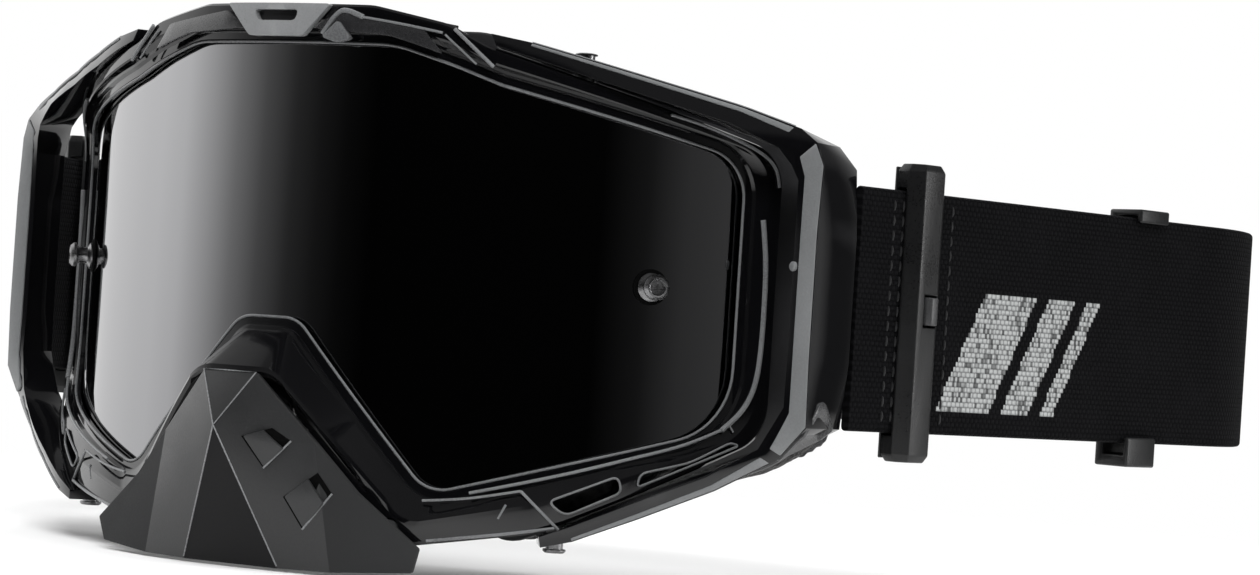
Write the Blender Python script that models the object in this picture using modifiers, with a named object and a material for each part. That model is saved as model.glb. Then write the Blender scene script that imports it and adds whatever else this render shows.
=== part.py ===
"""Motorcycle goggles, as an assembly of separate pieces.

World axes: +X to the viewer's right when looking at the lens, -Y forward,
+Z up.  The origin is the middle of the face seal.  Lengths below are in
millimetres and MM turns them into metres.

Most of the front is laid out flat and then wrapped round the lens: a point
has an arc length s along the lens, a height z, and a depth behind the lens's
outer face.
"""
from math import atan2, cos, hypot, pi, radians, sin, tan

import bmesh
import bpy
from mathutils import Matrix, Vector

MM = 0.001

# Driving sizes
LENS_RADIUS = 90.0
LENS_THICKNESS = 1.5
LENS_MARGIN = 2.0
SEAL_DEPTH = 56.0
GAP = 0.35
SHORTEST_CHAMFER = 0.6

# Frame section, measured outward from the aperture and back from the lens
LIP_DEPTH = -1.4
GROOVE_WIDTH = 2.4
GROOVE_BACK = 1.85
PLATE_BACK = 3.2
CREST = 0.55
WALL_INNER = 1.0
WALL_OUTER = 3.2

# Face side: the flange follows a parabola of this depth and curvature
FLANGE_DEPTH = 26.0
FLANGE_RADIUS = 115.0
FLANGE_THICKNESS = 2.4

# Foam layers: name, start, end, how far the outline shrinks
FOAM_LAYERS = (
    ("foam_base", 2.75, 10.6, 0.0),
    ("foam_face", 11.2, 15.8, 1.2),
    ("face_fleece", 16.15, 17.3, 1.2),
)

# Tear-off posts
POST_ARC = 71.2
POST_HEIGHT = -0.9

# Outriggers
PIVOT = (53.0, 17.2)
PIN_RADIUS = 1.6

# Nose guard
GUARD_THICKNESS = 1.8
PEG = (28.4, -47.2)
PEG_RADIUS = 1.5

# Strap
STRAP_WIDTH = 45.0
STRAP_THICKNESS = 1.8
STRAP_HEIGHT = -2.2
STRAP_SPLAY = 18.0
STRAP_RUN = 88.0
STRAP_CORNER = 36.0
RETURN_OFFSET = 2.4
RETURN_START = 6.0

# Clasp, where the strap is clipped to its link
CLASP = (99.4, 66.0)
CLASP_TOP = 25.4
CLASP_BOTTOM = -30.0
SLIDER_PLACE = 66.0
SLIDER_LENGTH = 9.0
SLIDER_TOP = 24.2
SLIDER_BOTTOM = -27.2
SLIDER_PLAY = 2.4

# Right half of the frame, from the top centre round to the nose.  Each row is
# a corner of the lens aperture (s, z, radius), the matching corner of the
# frame's outer edge (s, z, radius) and the depth of the front face there.
FRAME_CORNERS = (
    ((22.0, 40.0, 20.0), (18.0, 46.8, 10.0), -3.6),
    ((33.0, 36.8, 0.5), (32.0, 44.0, 3.0), -3.6),
    ((42.0, 33.7, 12.0), (39.0, 40.4, 3.0), -3.6),
    ((87.9, 23.4, 9.0), (95.0, 24.9, 8.0), -3.2),
    ((88.0, -25.6, 14.0), (95.0, -27.0, 9.0), -3.2),
    ((58.0, -33.9, 0.5), (57.0, -44.8, 1.0), -3.6),
    ((52.0, -35.6, 0.5), (51.5, -46.8, 1.0), -3.8),
    ((33.3, -40.9, 7.0), (26.5, -51.0, 5.0), -4.4),
    ((6.2, -10.8, 6.0), (8.5, -25.5, 6.0), -7.8),
)

# Right half of the face flange: inner and outer corners (x, z, radius)
FLANGE_CORNERS = (
    ((24.0, 32.0, 14.0), (24.0, 45.4, 14.0)),
    ((70.0, 19.0, 12.0), (84.0, 27.5, 14.0)),
    ((70.5, -21.0, 12.0), (84.5, -30.0, 16.0)),
    ((34.0, -33.0, 7.0), (33.0, -50.8, 6.0)),
    ((6.0, -5.5, 5.0), (8.5, -24.0, 6.0)),
)

# Right outrigger, from the tip of its upper arm round to the lower one: the
# inner and outer edges of its front (s, z, depth), and the step (s, depth)
# from its front to its back.
OUTRIGGER_SECTIONS = (
    ((40.6, 40.4, -4.0), (39.6, 42.6, -3.6), (0.0, 10.0)),
    ((46.0, 38.9, -4.4), (46.8, 41.4, -4.0), (0.0, 11.0)),
    ((56.0, 36.1, -4.8), (57.2, 39.0, -4.2), (0.0, 12.0)),
    ((68.0, 32.8, -6.6), (69.8, 36.0, -5.6), (0.0, 9.5)),
    ((80.0, 29.4, -10.2), (83.0, 32.6, -9.4), (0.5, 7.5)),
    ((88.0, 25.6, -12.6), (91.4, 29.4, -13.8), (4.0, 6.0)),
    ((90.2, 22.8, -13.2), (93.4, 27.0, -15.8), (7.6, 5.0)),
    ((91.6, 20.0, -13.4), (94.4, 23.0, -16.8), (9.0, 4.0)),
    ((91.8, 10.0, -13.2), (93.8, 10.5, -17.1), (9.8, 3.4)),
    ((91.8, -12.0, -13.2), (93.8, -12.5, -17.1), (9.8, 3.4)),
    ((91.6, -21.0, -13.4), (94.2, -24.5, -16.8), (9.0, 4.0)),
    ((88.0, -28.9, -12.2), (91.0, -30.7, -13.4), (4.0, 6.5)),
    ((80.0, -34.4, -10.0), (82.0, -36.8, -9.6), (0.5, 8.5)),
    ((68.0, -40.1, -7.6), (69.5, -42.8, -7.2), (0.0, 10.5)),
    ((58.0, -44.9, -6.2), (59.0, -47.4, -6.0), (0.0, 12.0)),
    ((53.4, -46.9, -5.4), (53.8, -48.8, -5.2), (0.0, 11.0)),
)

# Lower vent windows and the foam behind them, right side (s, z)
VENT_WINDOWS = (
    ((54.6, -40.6), (66.6, -35.3), (67.5, -38.2), (57.8, -43.0)),
    ((70.6, -34.6), (79.5, -32.2), (87.0, -28.2), (88.8, -28.6), (70.0, -37.2)),
)
VENT_FOAM_DEPTH = 3.6
VENT_FOAM = ((55.4, -41.2), (66.8, -36.4), (80.0, -33.2), (87.2, -29.0), (89.2, -29.4), (57.6, -43.8))

# Right half of the nose guard: corners of its facets (x, y, z), y from the lens
GUARD_POINTS = {
    "top": (0.0, -12.1, -20.9),
    "top_corner": (5.8, -12.1, -20.9),
    "apex": (0.0, -16.1, -30.8),
    "flank_high": (16.6, -8.0, -32.4),
    "flank_low": (24.6, -5.1, -41.2),
    "wing": (36.0, -1.5, -50.4),
    "heel": (34.7, -1.2, -54.8),
    "ridge_foot": (20.7, -6.4, -55.8),
    "keel_foot": (10.6, -8.1, -56.0),
    "foot": (0.0, -8.6, -56.0),
}
GUARD_FACETS = (
    ("top", "top_corner", "apex"),
    ("apex", "top_corner", "flank_high", "ridge_foot", "keel_foot"),
    ("apex", "keel_foot", "foot"),
    ("flank_high", "flank_low", "wing", "heel", "ridge_foot"),
)

# Surface finishes: base colour, roughness, metallic
FINISHES = {
    "gloss_black": ((0.008, 0.008, 0.009), 0.12, 0.0),
    "lens_smoke": ((0.03, 0.03, 0.032), 0.03, 0.6),
    "satin_grey": ((0.28, 0.29, 0.29), 0.35, 0.3),
    "matte_grey": ((0.05, 0.05, 0.052), 0.55, 0.0),
    "rail_grey": ((0.09, 0.095, 0.095), 0.5, 0.0),
    "flange_black": ((0.02, 0.02, 0.02), 0.45, 0.0),
    "foam_black": ((0.018, 0.017, 0.016), 0.95, 0.0),
    "fleece_grey": ((0.05, 0.05, 0.05), 1.0, 0.0),
    "webbing": ((0.012, 0.012, 0.013), 0.85, 0.0),
    "steel": ((0.55, 0.55, 0.56), 0.25, 1.0),
}


# ---------------------------------------------------------------- geometry

def on_lens(s, z, depth):
    """World point at arc length s, height z and depth behind the lens face."""
    angle = s / LENS_RADIUS
    reach = LENS_RADIUS - depth
    x = reach * sin(angle)
    y = LENS_RADIUS - reach * cos(angle)
    return in_world(x, y, z)


def in_world(x, y, z):
    """World point, in metres, from millimetres behind the lens's front."""
    return Vector((x, y - SEAL_DEPTH, z)) * MM


def flange_y(x):
    """Distance of the flange's front face behind the lens's front, at x."""
    return FLANGE_DEPTH + x * x / (2.0 * FLANGE_RADIUS)


def unit(dx, dy):
    length = hypot(dx, dy)
    return dx / length, dy / length


def lerp(a, b, t):
    return a + (b - a) * t


def rounded_corner(before, corner, after, radius, steps):
    """Points of the arc that rounds a corner, steps + 1 of them; 1 is a chamfer."""
    x, y = corner
    ax, ay = unit(before[0] - x, before[1] - y)
    bx, by = unit(after[0] - x, after[1] - y)
    half = 0.5 * (pi - abs(atan2(ax * by - ay * bx, ax * bx + ay * by)))
    reach = max(radius * tan(half), SHORTEST_CHAMFER)
    start = (x + ax * reach, y + ay * reach)
    end = (x + bx * reach, y + by * reach)
    if steps == 1:
        return [start, end]
    mx, my = unit(ax + bx, ay + by)
    centre_reach = radius / cos(half)
    cx, cy = x + mx * centre_reach, y + my * centre_reach
    a0 = atan2(start[1] - cy, start[0] - cx)
    turn = atan2(end[1] - cy, end[0] - cx) - a0
    turn = (turn + pi) % (2.0 * pi) - pi
    points = []
    for i in range(steps + 1):
        angle = a0 + turn * i / steps
        points.append((cx + radius * cos(angle), cy + radius * sin(angle)))
    return points


def mirrored_loop(half):
    """Full corner list of a symmetric outline from its right half."""
    return list(half) + [(-x, y, r) for x, y, r in reversed(half)]


def rounded_loop(half, arc_steps, spans):
    """Closed outline: each corner rounded, each side split into its spans."""
    corners = mirrored_loop(half)
    count = len(corners)
    arcs = []
    for i, (x, y, radius) in enumerate(corners):
        before = corners[i - 1]
        after = corners[(i + 1) % count]
        arcs.append(rounded_corner(before, (x, y), after, radius, arc_steps[i]))
    points = []
    for i, arc in enumerate(arcs):
        points.extend(arc)
        following = arcs[(i + 1) % count][0]
        for k in range(1, spans[i]):
            t = k / spans[i]
            points.append((lerp(arc[-1][0], following[0], t), lerp(arc[-1][1], following[1], t)))
    return points


def matched_steps(half, fine):
    """Arc steps and spans for an outline, from the corners of its inner edge."""
    corners = mirrored_loop(half)
    count = len(corners)
    arc_steps = [1 if radius < 2.0 else fine for _, _, radius in corners]
    spans = []
    for i in range(count):
        x0, y0, _ = corners[i]
        x1, y1, _ = corners[(i + 1) % count]
        spans.append(max(1, round(hypot(x1 - x0, y1 - y0) / 14.0)))
    return arc_steps, spans


def spread(values, arc_steps, spans):
    """One value for each outline point, from one value for each corner."""
    full = list(values) + list(reversed(values))
    result = []
    for i, value in enumerate(full):
        following = full[(i + 1) % len(full)]
        result.extend([value] * (arc_steps[i] + 1))
        result.extend(lerp(value, following, k / spans[i]) for k in range(1, spans[i]))
    return result


def outward(points):
    """Unit normals of a clockwise outline, pointing out of it."""
    normals = []
    for i, (x, y) in enumerate(points):
        x0, y0 = points[i - 1]
        x1, y1 = points[(i + 1) % len(points)]
        tx, ty = unit(x1 - x0, y1 - y0)
        normals.append((-ty, tx))
    return normals


def offset_loop(points, distance):
    normals = outward(points)
    return [(x + nx * distance, y + ny * distance) for (x, y), (nx, ny) in zip(points, normals)]


def circle(cx, cy, radius, steps):
    turn = 2 * pi / steps
    return [(cx + radius * cos(turn * i), cy + radius * sin(turn * i)) for i in range(steps)]


# ---------------------------------------------------------------- objects

def make_collection(name):
    collection = bpy.data.collections.new(name)
    bpy.context.scene.collection.children.link(collection)
    return collection


def make_material(name):
    colour, roughness, metallic = FINISHES[name]
    material = bpy.data.materials.new(name)
    material.use_nodes = True
    shader = material.node_tree.nodes["Principled BSDF"]
    shader.inputs["Base Color"].default_value = (*colour, 1.0)
    shader.inputs["Roughness"].default_value = roughness
    shader.inputs["Metallic"].default_value = metallic
    return material


def add_object(bm, name, finish, pivot=None):
    """Object from a bmesh, with outward faces and its origin at the pivot."""
    bmesh.ops.recalc_face_normals(bm, faces=bm.faces)
    bmesh.ops.triangulate(bm, faces=bm.faces, quad_method="SHORT_EDGE")
    if pivot is not None:
        bmesh.ops.translate(bm, verts=bm.verts, vec=-pivot)
    mesh = bpy.data.meshes.new(name)
    bm.to_mesh(mesh)
    bm.free()
    mesh.shade_smooth()
    mesh.set_sharp_from_angle(angle=radians(30.0))
    if finish is not None:
        mesh.materials.append(make_material(finish))
    item = bpy.data.objects.new(name, mesh)
    if pivot is not None:
        item.location = pivot
    PARTS.objects.link(item)
    return item


def make_cutter(item):
    """Move an object to the cutters, which the assembly leaves out."""
    PARTS.objects.unlink(item)
    CUTTERS.objects.link(item)
    item.hide_render = True
    item.display_type = "WIRE"
    return item


def boolean(item, other, operation):
    modifier = item.modifiers.new(operation.lower(), "BOOLEAN")
    modifier.object = make_cutter(other)
    modifier.operation = operation
    modifier.solver = "EXACT"


def loft(sections, closed=False):
    """Skin over sections of equal length; open lofts get flat ends."""
    bm = bmesh.new()
    rows = [[bm.verts.new(point) for point in section] for section in sections]
    count = len(rows[0])
    pairs = list(zip(rows, rows[1:]))
    if closed:
        pairs.append((rows[-1], rows[0]))
    for row, following in pairs:
        for i in range(count):
            k = (i + 1) % count
            bm.faces.new((row[i], row[k], following[k], following[i]))
    if not closed:
        bm.faces.new(rows[0])
        bm.faces.new(list(reversed(rows[-1])))
    return bm


def slab(outline, front, back, pitch=9.0):
    """Closed sheet over a flat outline, cut into strips and then bent.

    front and back turn an outline point (s, z) into a world point.
    """
    bm = bmesh.new()
    bm.faces.new([bm.verts.new((s, 0.0, z)) for s, z in outline])
    low = min(s for s, _ in outline)
    high = max(s for s, _ in outline)
    strips = max(1, round((high - low) / pitch))
    for i in range(1, strips):
        cut = lerp(low, high, i / strips)
        geometry = bm.verts[:] + bm.edges[:] + bm.faces[:]
        bmesh.ops.bisect_plane(bm, geom=geometry, dist=0.001, plane_co=(cut, 0, 0), plane_no=(1, 0, 0))
    extruded = bmesh.ops.extrude_face_region(bm, geom=bm.faces[:])
    rear = {v for v in extruded["geom"] if isinstance(v, bmesh.types.BMVert)}
    for vert in bm.verts:
        place = back if vert in rear else front
        vert.co = place(vert.co.x, vert.co.z)
    return bm


def bent_slab(outline, depth_front, depth_back, pitch=9.0):
    """Slab wrapped round the lens between two depths."""
    return slab(
        outline,
        lambda s, z: on_lens(s, z, depth_front),
        lambda s, z: on_lens(s, z, depth_back),
        pitch,
    )


def turned(profile, steps=20):
    """Mesh turned about Z from a profile of (radius, height) points."""
    bm = bmesh.new()
    rows = []
    for radius, height in profile:
        rows.append([bm.verts.new((x * MM, y * MM, height * MM)) for x, y in circle(0, 0, radius, steps)])
    for row, following in zip(rows, rows[1:]):
        for i in range(steps):
            k = (i + 1) % steps
            bm.faces.new((row[i], row[k], following[k], following[i]))
    bm.faces.new(rows[0])
    bm.faces.new(rows[-1])
    return bm


def turned_ring(profile, steps=20):
    """Washer-like mesh: the profile closes on itself."""
    bm = turned(profile + profile[:1], steps)
    ends = [face for face in bm.faces if len(face.verts) == steps]
    bmesh.ops.delete(bm, geom=ends, context="FACES_ONLY")
    bmesh.ops.remove_doubles(bm, verts=bm.verts, dist=1e-6)
    return bm


def ring(inner, outer, front, back):
    """Closed ring between two outlines and two surfaces given by functions."""
    sections = []
    for (xi, zi), (xo, zo) in zip(inner, outer):
        sections.append((front(xi, zi), front(xo, zo), back(xo, zo), back(xi, zi)))
    return loft(sections, closed=True)


def strap_frame(side):
    """Clasp centre, direction along the strap and direction outward."""
    splay = radians(STRAP_SPLAY)
    centre = in_world(side * CLASP[0], CLASP[1], STRAP_HEIGHT)
    along = Vector((side * sin(splay), cos(splay), 0.0))
    out = Vector((side * cos(splay), -sin(splay), 0.0))
    return centre, along, out


def strap_point(side, u, n, z):
    """World point from distances along, out of and up the strap's side run."""
    centre, along, out = strap_frame(side)
    return centre + (along * u + out * n + Vector((0, 0, z))) * MM


def strap_prism(side, outline, z_low, z_high):
    """Upright prism over an outline given as (along, outward) points."""
    sections = [[strap_point(side, u, n, z) for u, n in outline] for z in (z_low, z_high)]
    return loft(sections)


# ---------------------------------------------------------------- front

def frame_loops():
    """Aperture and outer outlines of the frame, with matched points."""
    inner_half = [row[0] for row in FRAME_CORNERS]
    outer_half = [row[1] for row in FRAME_CORNERS]
    arc_steps, spans = matched_steps(inner_half, 4)
    inner = rounded_loop(inner_half, arc_steps, spans)
    outer = rounded_loop(outer_half, arc_steps, spans)
    fronts = spread([row[2] for row in FRAME_CORNERS], arc_steps, spans)
    return inner, outer, fronts


def make_frame():
    inner, outer, fronts = frame_loops()
    sections = []
    for (si, zi), (so, zo), (ns, nz), front in zip(inner, outer, outward(inner), fronts):

        def away(distance, depth):
            return on_lens(si + ns * distance, zi + nz * distance, depth)

        def wall_end(distance):
            point = away(distance, PLATE_BACK)
            point.y = (flange_y(point.x / MM) - GAP - SEAL_DEPTH) * MM
            return point

        crest = on_lens(lerp(si, so, CREST), lerp(zi, zo, CREST), front)
        sections.append((
            away(0.0, LIP_DEPTH),
            crest,
            on_lens(so, zo, front),
            on_lens(so, zo, PLATE_BACK),
            away(WALL_OUTER, PLATE_BACK),
            wall_end(WALL_OUTER),
            wall_end(WALL_INNER),
            away(WALL_INNER, GROOVE_BACK),
            away(GROOVE_WIDTH, GROOVE_BACK),
            away(GROOVE_WIDTH, -GAP),
            away(0.0, -GAP),
        ))
    frame = add_object(loft(sections, closed=True), "frame", "gloss_black")
    for side in (-1, 1):
        for window in VENT_WINDOWS:
            outline = [(side * s, z) for s, z in window]
            cut = add_object(bent_slab(outline, -8.0, PLATE_BACK + 1.0), "vent_cut", None)
            boolean(frame, cut, "DIFFERENCE")
        for z_low, z_high in ((33.9, 38.0), (-48.0, -42.9)):
            hole = turned([(PIN_RADIUS + GAP, z_low), (PIN_RADIUS + GAP, z_high)], 12)
            bmesh.ops.translate(hole, verts=hole.verts, vec=in_world(side * PIVOT[0], PIVOT[1], 0.0))
            boolean(frame, add_object(hole, "pivot_cut", None), "DIFFERENCE")
        peg_hole = turned([(PEG_RADIUS + GAP, -12.0), (PEG_RADIUS + GAP, 5.0)], 12)
        lay_along_y(peg_hole, side * PEG[0], PEG[1])
        boolean(frame, add_object(peg_hole, "peg_cut", None), "DIFFERENCE")
    return frame


def lay_along_y(bm, x, z):
    """Turn a mesh that stands on Z so that it points back along Y, at x, z."""
    turn = Matrix.Rotation(radians(-90.0), 3, "X")
    bmesh.ops.rotate(bm, verts=bm.verts, matrix=turn)
    bmesh.ops.translate(bm, verts=bm.verts, vec=in_world(x, 0.0, z))


def aim_at_lens(bm, side, depth=0.0):
    """Stand a mesh turned about Z on the lens at a tear-off post, +Z outward."""
    s = side * POST_ARC
    base = on_lens(s, POST_HEIGHT, depth)
    out = on_lens(s, POST_HEIGHT, -1.0) - on_lens(s, POST_HEIGHT, 0.0)
    turn = out.to_track_quat("Z", "Y").to_matrix()
    bmesh.ops.rotate(bm, verts=bm.verts, matrix=turn)
    bmesh.ops.translate(bm, verts=bm.verts, vec=base)


def make_lens():
    inner, _, _ = frame_loops()
    outline = offset_loop(inner, LENS_MARGIN)
    lens = add_object(bent_slab(outline, 0.0, LENS_THICKNESS), "lens", "lens_smoke")
    for side in (-1, 1):
        hole = turned([(1.9, -4.0), (1.9, 2.0)], 14)
        aim_at_lens(hole, side)
        boolean(lens, add_object(hole, "post_cut", None), "DIFFERENCE")
    return lens


def make_posts():
    """Tear-off posts in front of the lens and the washers that hold them."""
    post = [
        (1.5, -3.6), (1.5, 0.35), (2.6, 0.35), (2.6, 1.0), (1.6, 1.5),
        (1.6, 3.1), (2.4, 3.5), (2.4, 4.3), (1.8, 4.8),
    ]
    washer = [(1.85, -3.3), (3.6, -3.3), (3.6, -1.85), (1.85, -1.85)]
    for side, label in SIDES:
        bm = turned(post, 16)
        aim_at_lens(bm, side)
        add_object(bm, f"tear_off_post_{label}", "steel")
        bm = turned_ring(washer, 16)
        aim_at_lens(bm, side)
        add_object(bm, f"post_washer_{label}", "matte_grey")


def make_brow_clip():
    """Satin trapezoid at the top centre, with a dark slot through it."""
    outline = [(-10.8, 46.6), (10.8, 46.6), (5.6, 40.6), (-5.6, 40.6)]
    clip = add_object(bent_slab(outline, -5.6, -3.6 - GAP), "brow_clip", "satin_grey")
    slot = circle(4.0, 44.4, 0.95, 12)
    right = [(s, z) for s, z in slot if s >= 4.0 - 1e-6]
    right.sort(key=lambda point: -point[1])
    outline = right + [(-s, z) for s, z in reversed(right)]
    cut = add_object(bent_slab(outline, -8.0, -2.0), "slot_cut", None)
    boolean(clip, cut, "DIFFERENCE")
    return clip


def make_nose_guard():
    """Faceted guard on two pegs, which pulls straight off forward."""
    bm = bmesh.new()
    for side in (-1, 1):
        corners = {}
        for name, (x, y, z) in GUARD_POINTS.items():
            corners[name] = bm.verts.new(in_world(side * x, y, z))
        for facet in GUARD_FACETS:
            names = facet if side > 0 else tuple(reversed(facet))
            bm.faces.new([corners[name] for name in names])
    bmesh.ops.remove_doubles(bm, verts=bm.verts, dist=1e-6)
    pivot = in_world(0.0, -8.6, -56.0)
    bmesh.ops.recalc_face_normals(bm, faces=bm.faces)
    if sum(face.normal.y for face in bm.faces) > 0.0:
        bmesh.ops.reverse_faces(bm, faces=bm.faces)
    bmesh.ops.translate(bm, verts=bm.verts, vec=-pivot)
    mesh = bpy.data.meshes.new("nose_guard")
    bm.to_mesh(mesh)
    bm.free()
    mesh.materials.append(make_material("matte_grey"))
    guard = bpy.data.objects.new("nose_guard", mesh)
    guard.location = pivot
    PARTS.objects.link(guard)
    thickness = guard.modifiers.new("thickness", "SOLIDIFY")
    thickness.thickness = GUARD_THICKNESS * MM
    thickness.offset = -1.0
    thickness.use_even_offset = True
    for side in (-1, 1):
        peg = turned([(PEG_RADIUS, -3.2), (PEG_RADIUS, 3.6)], 12)
        lay_along_y(peg, side * PEG[0], PEG[1])
        boolean(guard, add_object(peg, "peg_add", None), "UNION")
    return guard


def make_vent_foams():
    """Open-cell filter strips behind the vents."""
    strip = [(-19.0, 46.3), (19.0, 46.3), (19.0, 43.8), (-19.0, 43.8)]
    bm = slab(
        strip,
        lambda x, z: on_lens(x, z, PLATE_BACK + GAP),
        lambda x, z: in_world(x, flange_y(x) - 0.8, z),
    )
    add_object(bm, "vent_foam_top", "foam_black")
    for side, label in SIDES:
        outline = [(side * s, z) for s, z in VENT_FOAM]
        bm = slab(
            outline,
            lambda s, z: on_lens(s, z, PLATE_BACK + 2.0 * GAP),
            lambda s, z: on_lens(s, z, PLATE_BACK + 2.0 * GAP) + Vector((0, VENT_FOAM_DEPTH * MM, 0)),
        )
        add_object(bm, f"vent_foam_lower_{label}", "foam_black")


# ---------------------------------------------------------------- face side

def flange_loops(shrink):
    """Inner and outer outlines of the face ring, the ring narrowed by shrink."""
    inner_half = [row[0] for row in FLANGE_CORNERS]
    outer_half = [row[1] for row in FLANGE_CORNERS]
    arc_steps, spans = matched_steps(inner_half, 4)
    inner = rounded_loop(inner_half, arc_steps, spans)
    outer = rounded_loop(outer_half, arc_steps, spans)
    return offset_loop(inner, shrink), offset_loop(outer, -shrink)


def face_surface(behind):
    """Function giving the surface a distance behind the flange's front."""
    return lambda x, z: in_world(x, flange_y(x) + behind, z)


def make_face_side():
    inner, outer = flange_loops(0.0)
    bm = ring(inner, outer, face_surface(0.0), face_surface(FLANGE_THICKNESS))
    add_object(bm, "face_flange", "flange_black")
    for name, start, end, shrink in FOAM_LAYERS:
        inner, outer = flange_loops(shrink)
        bm = ring(inner, outer, face_surface(start), face_surface(end))
        finish = "fleece_grey" if name == "face_fleece" else "foam_black"
        add_object(bm, name, finish)


# ---------------------------------------------------------------- outriggers

def outrigger_section(side, row):
    """Four corners of the outrigger's section, the front ones first."""
    (si, zi, front_in), (so, zo, front_out), (step_s, step_depth) = row
    corners = (
        (si, zi, front_in),
        (so, zo, front_out),
        (so + step_s, zo, front_out + step_depth),
        (si + step_s, zi, front_in + step_depth),
    )
    return [on_lens(side * s, z, depth) for s, z, depth in corners]


def make_outriggers():
    for side, label in SIDES:
        pivot = in_world(side * PIVOT[0], PIVOT[1], 0.0)
        sections = [outrigger_section(side, row) for row in OUTRIGGER_SECTIONS]
        arm = add_object(loft(sections), f"outrigger_{label}", "rail_grey", pivot)
        for z_low, z_high in ((34.0, 44.0), (-52.0, -42.0)):
            hole = turned([(PIN_RADIUS + GAP, z_low), (PIN_RADIUS + GAP, z_high)], 12)
            bmesh.ops.translate(hole, verts=hole.verts, vec=pivot)
            boolean(arm, add_object(hole, "pin_cut", None), "DIFFERENCE")


def make_pivot_pins():
    """Headed pins that each outrigger turns on, one above and one below."""
    upper = [(PIN_RADIUS, 34.2), (PIN_RADIUS, 40.1), (2.1, 40.1), (2.1, 40.5), (1.7, 40.8)]
    lower = [(PIN_RADIUS, -43.2), (PIN_RADIUS, -49.2), (2.1, -49.2), (2.1, -49.6), (1.7, -49.9)]
    for side, label in SIDES:
        for place, profile in (("upper", upper), ("lower", lower)):
            bm = turned(profile, 12)
            bmesh.ops.translate(bm, verts=bm.verts, vec=in_world(side * PIVOT[0], PIVOT[1], 0.0))
            add_object(bm, f"pivot_pin_{place}_{label}", "steel")


# ---------------------------------------------------------------- strap

def strap_path():
    """Points down the middle of the strap, from the right clasp to the left."""
    half = []
    run_start = 0.5
    for u in (run_start, 0.5 * STRAP_RUN, STRAP_RUN):
        point = strap_point(1, u, 0.0, 0.0)
        half.append((point.x, point.y))
    end = strap_point(1, STRAP_RUN, -STRAP_CORNER, 0.0)
    turn = radians(90.0 + STRAP_SPLAY)
    start = radians(-STRAP_SPLAY)
    steps = 14
    for i in range(1, steps + 1):
        angle = start + turn * i / steps
        x = end.x + STRAP_CORNER * MM * cos(angle)
        y = end.y + STRAP_CORNER * MM * sin(angle)
        half.append((x, y))
    return half + [(-x, y) for x, y in reversed(half)]


def ribbon(path, thickness, z_low, z_high):
    """Upright band of the given thickness along a path in plan."""
    sections = []
    for i, (x, y) in enumerate(path):
        x0, y0 = path[max(i - 1, 0)]
        x1, y1 = path[min(i + 1, len(path) - 1)]
        tx, ty = unit(x1 - x0, y1 - y0)
        ox, oy = ty * thickness / 2, -tx * thickness / 2
        sections.append([
            Vector((x + ox, y + oy, z_low)),
            Vector((x + ox, y + oy, z_high)),
            Vector((x - ox, y - oy, z_high)),
            Vector((x - ox, y - oy, z_low)),
        ])
    return loft(sections)


def side_ribbon(side, u_start, u_end, n):
    """Straight piece of webbing along the strap's side run."""
    path = []
    for u in (u_start, u_end):
        point = strap_point(side, u, n, 0.0)
        path.append((point.x, point.y))
    z_low = (STRAP_HEIGHT - STRAP_WIDTH / 2) * MM
    z_high = (STRAP_HEIGHT + STRAP_WIDTH / 2) * MM
    return ribbon(path, STRAP_THICKNESS * MM, z_low, z_high)


def make_strap():
    z_low = (STRAP_HEIGHT - STRAP_WIDTH / 2) * MM
    z_high = (STRAP_HEIGHT + STRAP_WIDTH / 2) * MM
    add_object(ribbon(strap_path(), STRAP_THICKNESS * MM, z_low, z_high), "strap", "webbing")
    for side, label in SIDES:
        bm = side_ribbon(side, RETURN_START, SLIDER_PLACE, -RETURN_OFFSET)
        add_object(bm, f"strap_return_{label}", "webbing")
        bm = side_ribbon(side, -17.6, -0.3, 0.0)
        add_object(bm, f"strap_link_{label}", "webbing")


def make_clasps():
    """Clasp halves that hold the link and the strap's end, and their latch."""
    cover = [(-6.4, -1.2), (-6.4, 1.8), (-4.2, 3.9), (1.0, 3.9), (3.0, 2.2), (3.0, -1.2)]
    base = [(-6.2, -1.55), (2.8, -1.55), (2.8, -2.0), (1.4, -3.0), (-4.6, -3.0), (-6.2, -2.0)]
    slot = [(-9.0, -6.0), (-9.0, 1.25), (9.0, 1.25), (9.0, -6.0)]
    window = [(-2.4, 0.0), (-2.4, 9.0), (1.4, 9.0), (1.4, 0.0)]
    button = [(-2.0, 2.4), (-2.0, 4.2), (-1.3, 4.8), (0.3, 4.8), (1.0, 4.2), (1.0, 2.4)]
    low = CLASP_BOTTOM - STRAP_HEIGHT
    high = CLASP_TOP - STRAP_HEIGHT
    half_slot = STRAP_WIDTH / 2 + 0.5
    for side, label in SIDES:
        item = add_object(strap_prism(side, cover, low, high), f"clasp_cover_{label}", "matte_grey")
        ends = item.modifiers.new("rounded ends", "BEVEL")
        ends.width = 0.6 * MM
        ends.segments = 1
        ends.limit_method = "ANGLE"
        cut = add_object(strap_prism(side, slot, -half_slot, half_slot), "slot_cut", None)
        boolean(item, cut, "DIFFERENCE")
        cut = add_object(strap_prism(side, window, -2.6, 3.4), "window_cut", None)
        boolean(item, cut, "DIFFERENCE")
        add_object(strap_prism(side, base, low + 0.6, high - 0.6), f"clasp_base_{label}", "matte_grey")
        pivot = strap_point(side, -0.5, 3.6, 0.4)
        bm = strap_prism(side, button, -2.2, 3.0)
        add_object(bm, f"clasp_latch_{label}", "rail_grey", pivot)


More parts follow.
